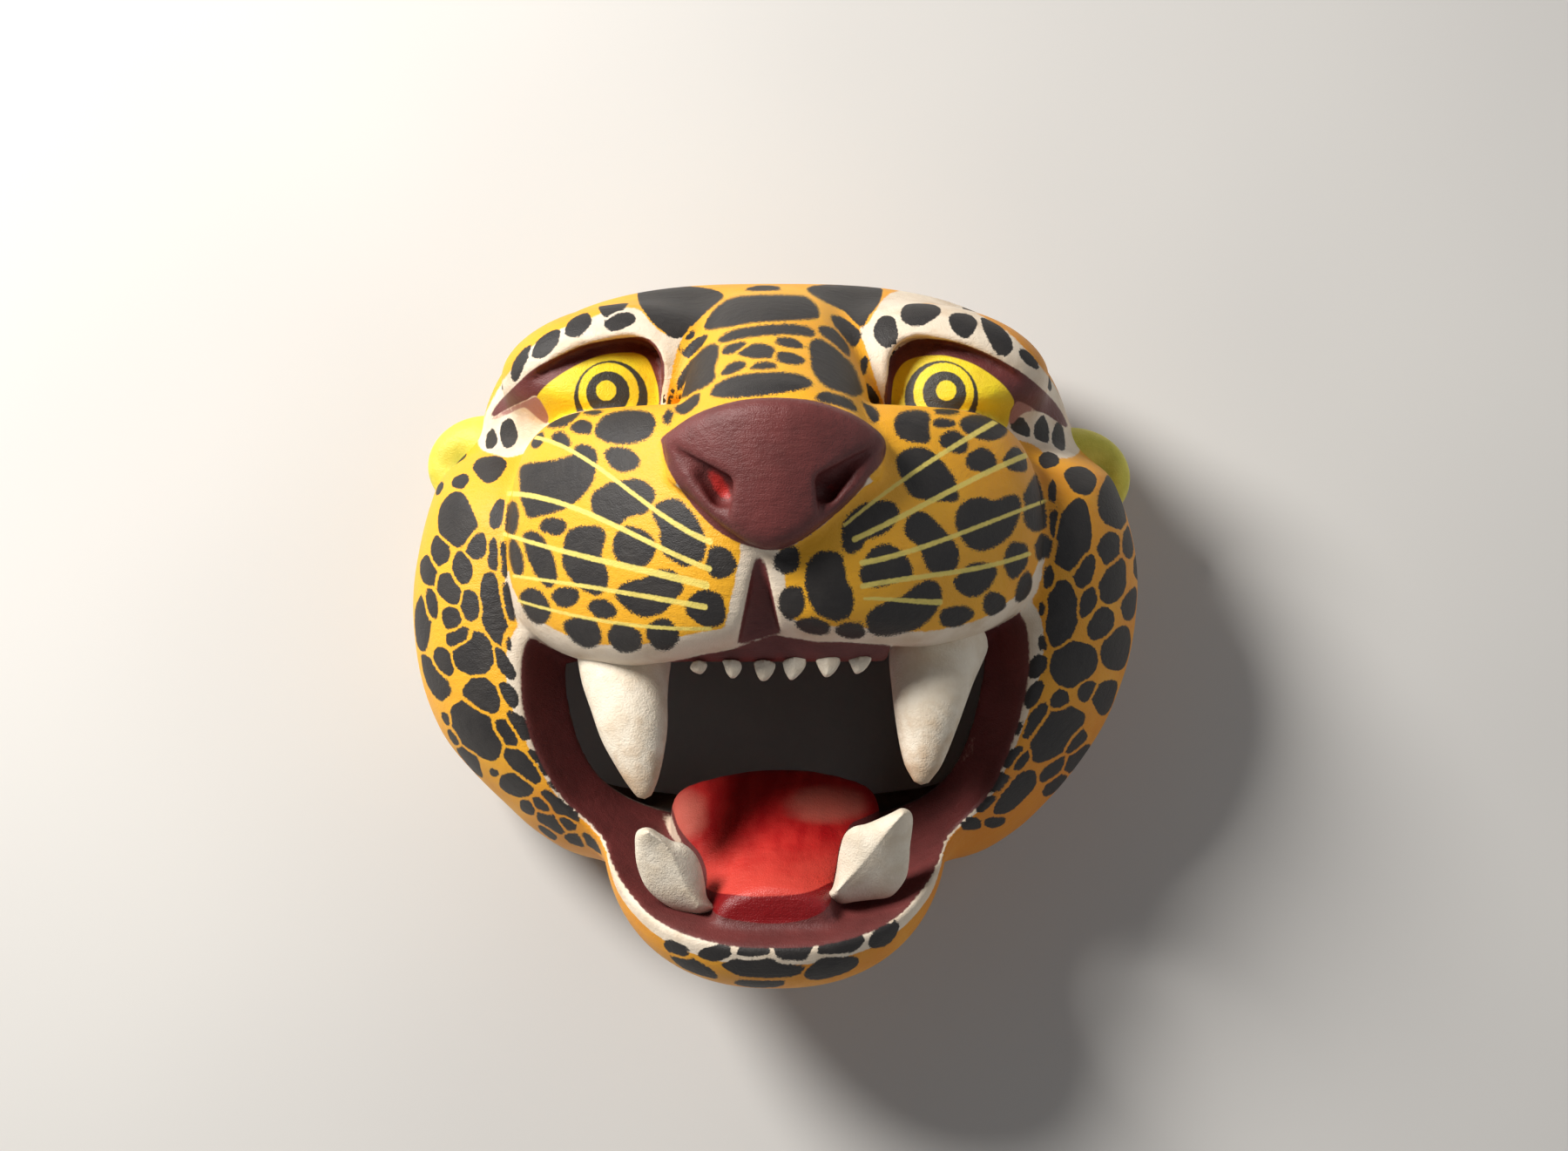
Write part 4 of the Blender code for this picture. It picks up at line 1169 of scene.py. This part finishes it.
class Paint:
    """A material whose nodes are put together in plain steps."""

    def __init__(self, name):
        self.material = bpy.data.materials.new(name)
        self.material.use_nodes = True
        self.tree = self.material.node_tree
        self.shader = self.tree.nodes["Principled BSDF"]
        self.place = self.node("ShaderNodeTexCoord").outputs["Object"]

    def node(self, kind, **settings):
        made = self.tree.nodes.new(kind)
        for name, value in settings.items():
            setattr(made, name, value)
        return made

    def feed(self, socket, value):
        if isinstance(value, bpy.types.NodeSocket):
            self.tree.links.new(value, socket)
        else:
            socket.default_value = value

    def math(self, operation, *values):
        made = self.node("ShaderNodeMath", operation=operation)
        for socket, value in zip(made.inputs, values):
            self.feed(socket, value)
        return made.outputs[0]

    def scaled(self, value, factor, base):
        """The value times the factor, added to the base."""
        return self.math("MULTIPLY_ADD", value, factor, base)

    def attribute(self, name, vector=False):
        made = self.node("ShaderNodeAttribute", attribute_name=name)
        return made.outputs["Vector" if vector else "Fac"]

    def noise(self, scale, detail=3.0, rough=0.55, stretch=None):
        """Noise around 0, from about -1 to 1; scale is the size of its lumps in millimetres."""
        place = self.place
        if stretch:
            mapping = self.node("ShaderNodeMapping")
            self.feed(mapping.inputs["Vector"], place)
            mapping.inputs["Scale"].default_value = stretch
            place = mapping.outputs[0]
        made = self.node("ShaderNodeTexNoise")
        self.feed(made.inputs["Vector"], place)
        made.inputs["Scale"].default_value = 1000 / scale
        made.inputs["Detail"].default_value = detail
        made.inputs["Roughness"].default_value = rough
        return self.scaled(made.outputs["Fac"], 4.0, -2.0)

    def inside(self, distance, soft):
        """1 inside a painted edge and 0 outside it, soft over the given width."""
        return self.ranged(distance, soft, -soft)

    def ranged(self, value, start, end, low=0.0, high=1.0):
        made = self.node("ShaderNodeMapRange", interpolation_type="SMOOTHSTEP")
        names = ("Value", "From Min", "From Max", "To Min", "To Max")
        for name, number in zip(names, (value, start, end, low, high)):
            self.feed(made.inputs[name], number)
        return made.outputs[0]

    def mix(self, share, under, over):
        made = self.node("ShaderNodeMix", data_type="RGBA")
        # The colour sockets come after the number and vector ones that share their names
        for number, value in ((0, share), (6, under), (7, over)):
            self.feed(made.inputs[number], linear(*value) if isinstance(value, tuple) else value)
        return made.outputs[2]

    def flecked(self, colour, pattern, start, end, most, fleck):
        """The colour, with another one over it, up to a share, where the pattern goes from start to end."""
        return self.mix(self.ranged(pattern, start, end, 0, most), colour, fleck)

    def coat(self, colour, gloss, relief, depth, strength):
        """Joins colour, roughness and the height of the surface, its relief in metres, to the shader."""
        self.feed(self.shader.inputs["Base Color"], colour)
        self.feed(self.shader.inputs["Roughness"], gloss)
        bump = self.node("ShaderNodeBump")
        bump.inputs["Distance"].default_value = depth
        bump.inputs["Strength"].default_value = strength
        self.feed(bump.inputs["Height"], relief)
        self.feed(self.shader.inputs["Normal"], bump.outputs["Normal"])
        return self.material


def painted_wood():
    paint = Paint("painted_wood_coat")
    fine = paint.noise(0.55, 2)
    ragged = paint.noise(1.3, 3)
    slow = paint.noise(14, 3)
    broad = paint.noise(45, 2)
    brush = paint.noise(1.6, 4, 0.6, (0.12, 1.0, 1.0))
    on_pads = paint.attribute("pads")

    # The yellow ground, warmer and darker to the right and below: partly its own tone, partly painted shade
    # on the right side and the lower parts; thin in places
    warmth = paint.scaled(broad, 0.22, paint.attribute("warmth"))
    warmth = paint.scaled(slow, 0.10, warmth)
    ground = paint.mix(paint.ranged(warmth, 0.0, 1.0), (246, 179, 34), (222, 135, 16))
    ground = paint.flecked(ground, brush, 0.5, 1.6, 0.25, (205, 120, 20))
    # Fine lighter yellow flecks, a painted highlight over the ground
    ground = paint.flecked(ground, fine, 0.9, 1.6, 0.3, (250, 204, 84))

    # Cream borders and the cream around the eyes
    edge = paint.scaled(ragged, 0.35, paint.attribute("white"))
    edge = paint.scaled(slow, 0.4, edge)
    cream = paint.mix(paint.ranged(slow, -0.5, 1.4), (238, 222, 200), (214, 190, 160))
    cream = paint.flecked(cream, paint.noise(3.5, 4), 0.7, 1.3, 0.5, (196, 166, 130))
    colour = paint.mix(paint.inside(edge, 0.35), ground, cream)

    # Black spots, with stippled edges on the pads
    hairy = paint.attribute("hairy")
    stipple = paint.scaled(hairy, 0.6, 0.2)
    a, b, c, d = (paint.attribute(f"spots_{number}") for number in range(SPOT_GROUPS))
    low, high = paint.math("MINIMUM", a, b), paint.math("MAXIMUM", a, b)
    other_low, other_high = paint.math("MINIMUM", c, d), paint.math("MAXIMUM", c, d)
    nearest_spot = paint.math("MINIMUM", low, other_low)
    further = paint.math("MAXIMUM", low, other_low)
    second = paint.math("MINIMUM", further, paint.math("MINIMUM", high, other_high))
    # The ground shows between two spots that would touch
    between_spots = paint.scaled(paint.math("SUBTRACT", second, nearest_spot), -0.5, SPOT_GAP / 2)
    spots = paint.math("MAXIMUM", nearest_spot, between_spots)
    edge = paint.scaled(fine, stipple, spots)
    edge = paint.math("SUBTRACT", edge, 0.25)
    edge = paint.scaled(ragged, 0.3, edge)
    soft = paint.scaled(hairy, 0.22, 0.26)
    black_share = paint.ranged(edge, soft, paint.math("MULTIPLY", soft, -1.0))
    black = paint.mix(paint.ranged(slow, -1.0, 1.4), (34, 31, 31), (52, 48, 45))
    black = paint.flecked(black, brush, 0.4, 1.6, 0.5, (84, 76, 66))
    colour = paint.mix(black_share, colour, black)

    # Whiskers, each a smooth line over the drawing
    drawing = paint.node("ShaderNodeSeparateXYZ")
    paint.feed(drawing.inputs[0], paint.attribute("drawing", vector=True))
    u, v = drawing.outputs[0], drawing.outputs[1]
    nearest = None
    for line, (thin, thick) in zip(WHISKERS, WHISKER_HALVES):
        line = np.array(line, float)
        share = (line[:, 0] - line[0, 0]) / (line[-1, 0] - line[0, 0])
        cubic = np.polyfit(share, line[:, 1], 3)
        tilt = math.cos(math.atan2(line[-1, 1] - line[0, 1], abs(line[-1, 0] - line[0, 0])))
        along = paint.node("ShaderNodeMapRange")
        paint.feed(along.inputs["Value"], u)
        along.inputs["From Min"].default_value = line[0, 0]
        along.inputs["From Max"].default_value = line[-1, 0]
        t = along.outputs[0]
        height = paint.scaled(t, float(cubic[0]), float(cubic[1]))
        height = paint.scaled(t, height, float(cubic[2]))
        height = paint.scaled(t, height, float(cubic[3]))
        off = paint.math("MULTIPLY", paint.math("SUBTRACT", v, height), tilt)
        spine = paint.scaled(t, float(line[-1, 0] - line[0, 0]), float(line[0, 0]))
        past = paint.math("SUBTRACT", u, spine)
        away = paint.math("SQRT", paint.scaled(off, off, paint.math("MULTIPLY", past, past)))
        away = paint.math("SUBTRACT", away, paint.scaled(t, thick - thin, thin))
        nearest = paint.math("MINIMUM", nearest, away) if nearest else away
    nearest = paint.scaled(ragged, 0.6, nearest)
    line_share = paint.math("MULTIPLY", paint.inside(nearest, 0.9), on_pads)
    line_share = paint.math("MULTIPLY", line_share, paint.ranged(brush, -1.5, 1.0, 1.0, 0.78))
    colour = paint.mix(line_share, colour, (248, 226, 116))

    # Maroon nose, lips, gum and lids
    edge = paint.scaled(ragged, 0.15, paint.attribute("maroon"))
    maroon = paint.mix(paint.ranged(slow, -1.0, 1.3), (112, 52, 50), (92, 40, 38))
    maroon = paint.flecked(maroon, brush, 0.3, 1.6, 0.5, (134, 78, 70))
    maroon = paint.flecked(maroon, fine, 1.25, 1.5, 0.5, (190, 150, 135))
    colour = paint.mix(paint.inside(edge, 0.3), colour, maroon)
    nostril = paint.scaled(ragged, 0.15, paint.attribute("nostril"))
    colour = paint.flecked(colour, nostril, 0.25, 0.85, 0.9, (205, 48, 42))

    # Pale wood floor beside the tongue, then the tongue
    edge = paint.scaled(ragged, 0.3, paint.attribute("pale"))
    colour = paint.mix(paint.inside(edge, 0.4), colour, (214, 190, 168))
    streaks = paint.noise(7, 3, 0.55, (1.0, 0.22, 0.3))
    red = paint.mix(paint.ranged(streaks, -0.8, 1.1), (176, 20, 24), (206, 46, 42))
    lower = paint.scaled(slow, 12, v)
    red = paint.flecked(red, lower, 955, 1012, 0.7, (224, 82, 68))
    # Paler pink patches at both sides of the tongue: partly a pink wash, partly painted highlight of its
    # gloss
    for middle_u, middle_v, half_wide, half_high, most in ((790, 934, 24, 30, 0.6), (948, 922, 46, 22, 0.6)):
        across = paint.scaled(u, 1 / half_wide, -middle_u / half_wide)
        upward = paint.scaled(v, 1 / half_high, -middle_v / half_high)
        off = paint.scaled(across, across, paint.math("MULTIPLY", upward, upward))
        off = paint.scaled(slow, 0.35, off)
        red = paint.flecked(red, off, 1.5, 0.2, most, (206, 122, 104))
    # The tongue's front face in a darker red, painted shade below its front edge
    red = paint.mix(paint.inside(paint.attribute("step"), 0.4), red, (132, 12, 18))
    tongue_edge = paint.scaled(ragged, 0.12, paint.attribute("tongue"))
    on_tongue = paint.inside(tongue_edge, 0.3)
    colour = paint.mix(on_tongue, colour, red)

    # Eyes: yellow, with a dark ring, a yellow ring, a black ring and a yellow middle
    iris = paint.attribute("iris", vector=True)
    yellow = paint.mix(paint.ranged(slow, -0.8, 1.2), (244, 222, 34), (234, 200, 40))
    eye = yellow
    ring_black = (52, 50, 44)
    for shift_u, shift_v, radius, tone in (
        (4.3, 8.2, 42.3, ring_black),
        (1.7, 3, 34.6, yellow),
        (0.8, 3, 25, ring_black),
        (-1.2, 0.2, 11.6, yellow),
    ):
        gap = paint.node("ShaderNodeVectorMath", operation="DISTANCE")
        paint.feed(gap.inputs[0], iris)
        gap.inputs[1].default_value = (shift_u, shift_v, 0)
        ring = paint.math("SUBTRACT", gap.outputs["Value"], radius)
        ring = paint.scaled(ragged, 0.5, ring)
        eye = paint.mix(paint.inside(ring, 0.9), eye, tone)
    eye = paint.flecked(eye, paint.noise(2.2, 4), 0.9, 1.3, 0.5, (150, 110, 60))
    colour = paint.mix(paint.inside(paint.attribute("eyeball"), 0.3), colour, eye)
    colour = paint.mix(paint.inside(paint.attribute("lower_lid"), 0.4), colour, (168, 118, 110))

    # Bare wood behind, darkened inside the hollow with painted shade
    grain = paint.noise(5, 4, 0.6, (1.0, 0.12, 0.4))
    wood = paint.mix(paint.ranged(grain, -1.2, 1.2), (84, 58, 38), (108, 77, 50))
    height = paint.node("ShaderNodeSeparateXYZ")
    paint.feed(height.inputs[0], paint.place)
    # Painted shade in the hollow, darker the higher the wood lies above the rim
    wood = paint.flecked(wood, height.outputs[2], 0.004, 0.03, 0.8, (26, 18, 14))
    bare = paint.inside(paint.attribute("bare"), 0.6)
    colour = paint.mix(bare, colour, wood)

    gloss = paint.scaled(slow, 0.05, 0.52)
    gloss = paint.scaled(bare, 0.25, gloss)
    gloss = paint.scaled(on_tongue, -0.12, gloss)
    gloss = paint.scaled(black_share, 0.06, gloss)
    relief = paint.scaled(brush, 0.5, paint.math("MULTIPLY", fine, 0.45))
    relief = paint.scaled(paint.noise(4, 3), 0.7, relief)
    return paint.coat(colour, gloss, relief, depth=0.00022, strength=0.6)


def cream_paint(name, tips):
    """Matt cream paint, worn thin; tips is True where an attribute darkens the points."""
    paint = Paint(name)
    slow = paint.noise(9, 4)
    fine = paint.noise(0.8, 3)
    brush = paint.noise(2.4, 4, 0.6, (1.0, 0.2, 1.0))
    colour = paint.mix(paint.ranged(slow, -1.0, 1.3), (240, 229, 210), (222, 205, 180))
    colour = paint.flecked(colour, brush, 0.5, 1.6, 0.5, (190, 166, 132))
    if tips:
        worn = paint.scaled(slow, 0.2, paint.attribute("tip"))
        colour = paint.flecked(colour, worn, 0.45, 1.0, 0.75, (186, 150, 112))
    pits = paint.ranged(paint.noise(1.4, 2), 1.05, 1.3)
    colour = paint.mix(paint.math("MULTIPLY", pits, 0.45), colour, (140, 108, 78))
    gloss = paint.scaled(fine, 0.04, 0.6)
    relief = paint.scaled(fine, 0.5, paint.math("MULTIPLY", slow, 1.2))
    relief = paint.scaled(pits, -1.5, relief)
    return paint.coat(colour, gloss, relief, depth=0.0003, strength=0.6)


def lemon_paint():
    paint = Paint("lemon_ear_paint")
    slow = paint.noise(8, 4)
    fine = paint.noise(0.7, 3)
    colour = paint.mix(paint.ranged(slow, -1.0, 1.2), (232, 220, 84), (206, 196, 60))
    colour = paint.flecked(colour, paint.noise(2.5, 4), 0.8, 1.3, 0.5, (168, 150, 50))
    gloss = paint.scaled(fine, 0.04, 0.5)
    relief = paint.scaled(fine, 0.4, slow)
    return paint.coat(colour, gloss, relief, depth=0.0003, strength=0.5)


def plain_floor():
    paint = Paint("pale_floor")
    tone = paint.mix(paint.ranged(paint.noise(400, 2), -1, 1), (216, 214, 210), (208, 206, 203))
    paint.feed(paint.shader.inputs["Base Color"], tone)
    paint.shader.inputs["Roughness"].default_value = 0.9
    return paint.material


# The pieces whose names start like this, and their paint
COATS = {
    "tiger_head": painted_wood(),
    "fang_": cream_paint("cream_fang_paint", tips=True),
    "front_tooth": cream_paint("cream_tooth_paint", tips=False),
    "ear_piece": lemon_paint(),
    "floor": plain_floor(),
}
for piece in bpy.context.scene.objects:
    for start, material in COATS.items():
        if piece.type == "MESH" and piece.name.startswith(start):
            piece.data.materials.clear()
            piece.data.materials.append(material)


def lamp(name, place, aim, size, power, colour):
    light = bpy.data.lights.new(name, "AREA")
    light.shape = "DISK"
    light.size = size
    light.energy = power
    light.color = colour
    body = bpy.data.objects.new(name, light)
    body.location = in_mask(place)
    body.rotation_euler = (in_mask(aim) - body.location).to_track_quat("-Z", "Y").to_euler()
    bpy.context.scene.collection.objects.link(body)


lamp("key", (-820, 760, 820), (0, 0, 40), 0.5, 28, (1.0, 0.97, 0.93))
lamp("fill", (1000, 150, 900), (0, 0, 40), 1.4, 2, (0.96, 0.98, 1.0))

# A soft studio all round: darker overhead, where it would shine straight into the mouth
world = bpy.data.worlds.new("studio")
world.use_nodes = True
nodes, links = world.node_tree.nodes, world.node_tree.links
direction = nodes.new("ShaderNodeTexCoord")
parts = nodes.new("ShaderNodeSeparateXYZ")
links.new(direction.outputs["Generated"], parts.inputs[0])
height = nodes.new("ShaderNodeMapRange")
height.interpolation_type = "SMOOTHSTEP"
for label, value in (("From Min", 0.3), ("From Max", 0.86), ("To Min", 0.5), ("To Max", 0.0)):
    height.inputs[label].default_value = value
links.new(parts.outputs["Z"], height.inputs["Value"])
links.new(height.outputs[0], nodes["Background"].inputs["Strength"])
nodes["Background"].inputs["Color"].default_value = (0.82, 0.83, 0.85, 1)
bpy.context.scene.world = world

camera = bpy.data.objects.new("camera", bpy.data.cameras.new("camera"))
camera.data.sensor_width = 36
camera.data.lens = 36 * FOCAL_PIXELS / (2 * PHOTO_MIDDLE[0])
camera.location = in_mask(VIEWER)
camera.rotation_euler = (LEAN, 0, 0)
camera.data.clip_start = 0.01
bpy.context.scene.collection.objects.link(camera)
bpy.context.scene.camera = camera
bpy.context.scene.view_settings.view_transform = "Standard"

# The carving is kept inside the size of the CAD model
for piece in bpy.context.scene.objects:
    if piece.name.startswith(("tiger_head", "fang_", "ear_piece", "front_tooth")):
        kept = np.clip(vertex_array(piece.data), cad_box[0], cad_box[1])
        piece.data.vertices.foreach_set("co", kept.ravel())
        piece.data.update()
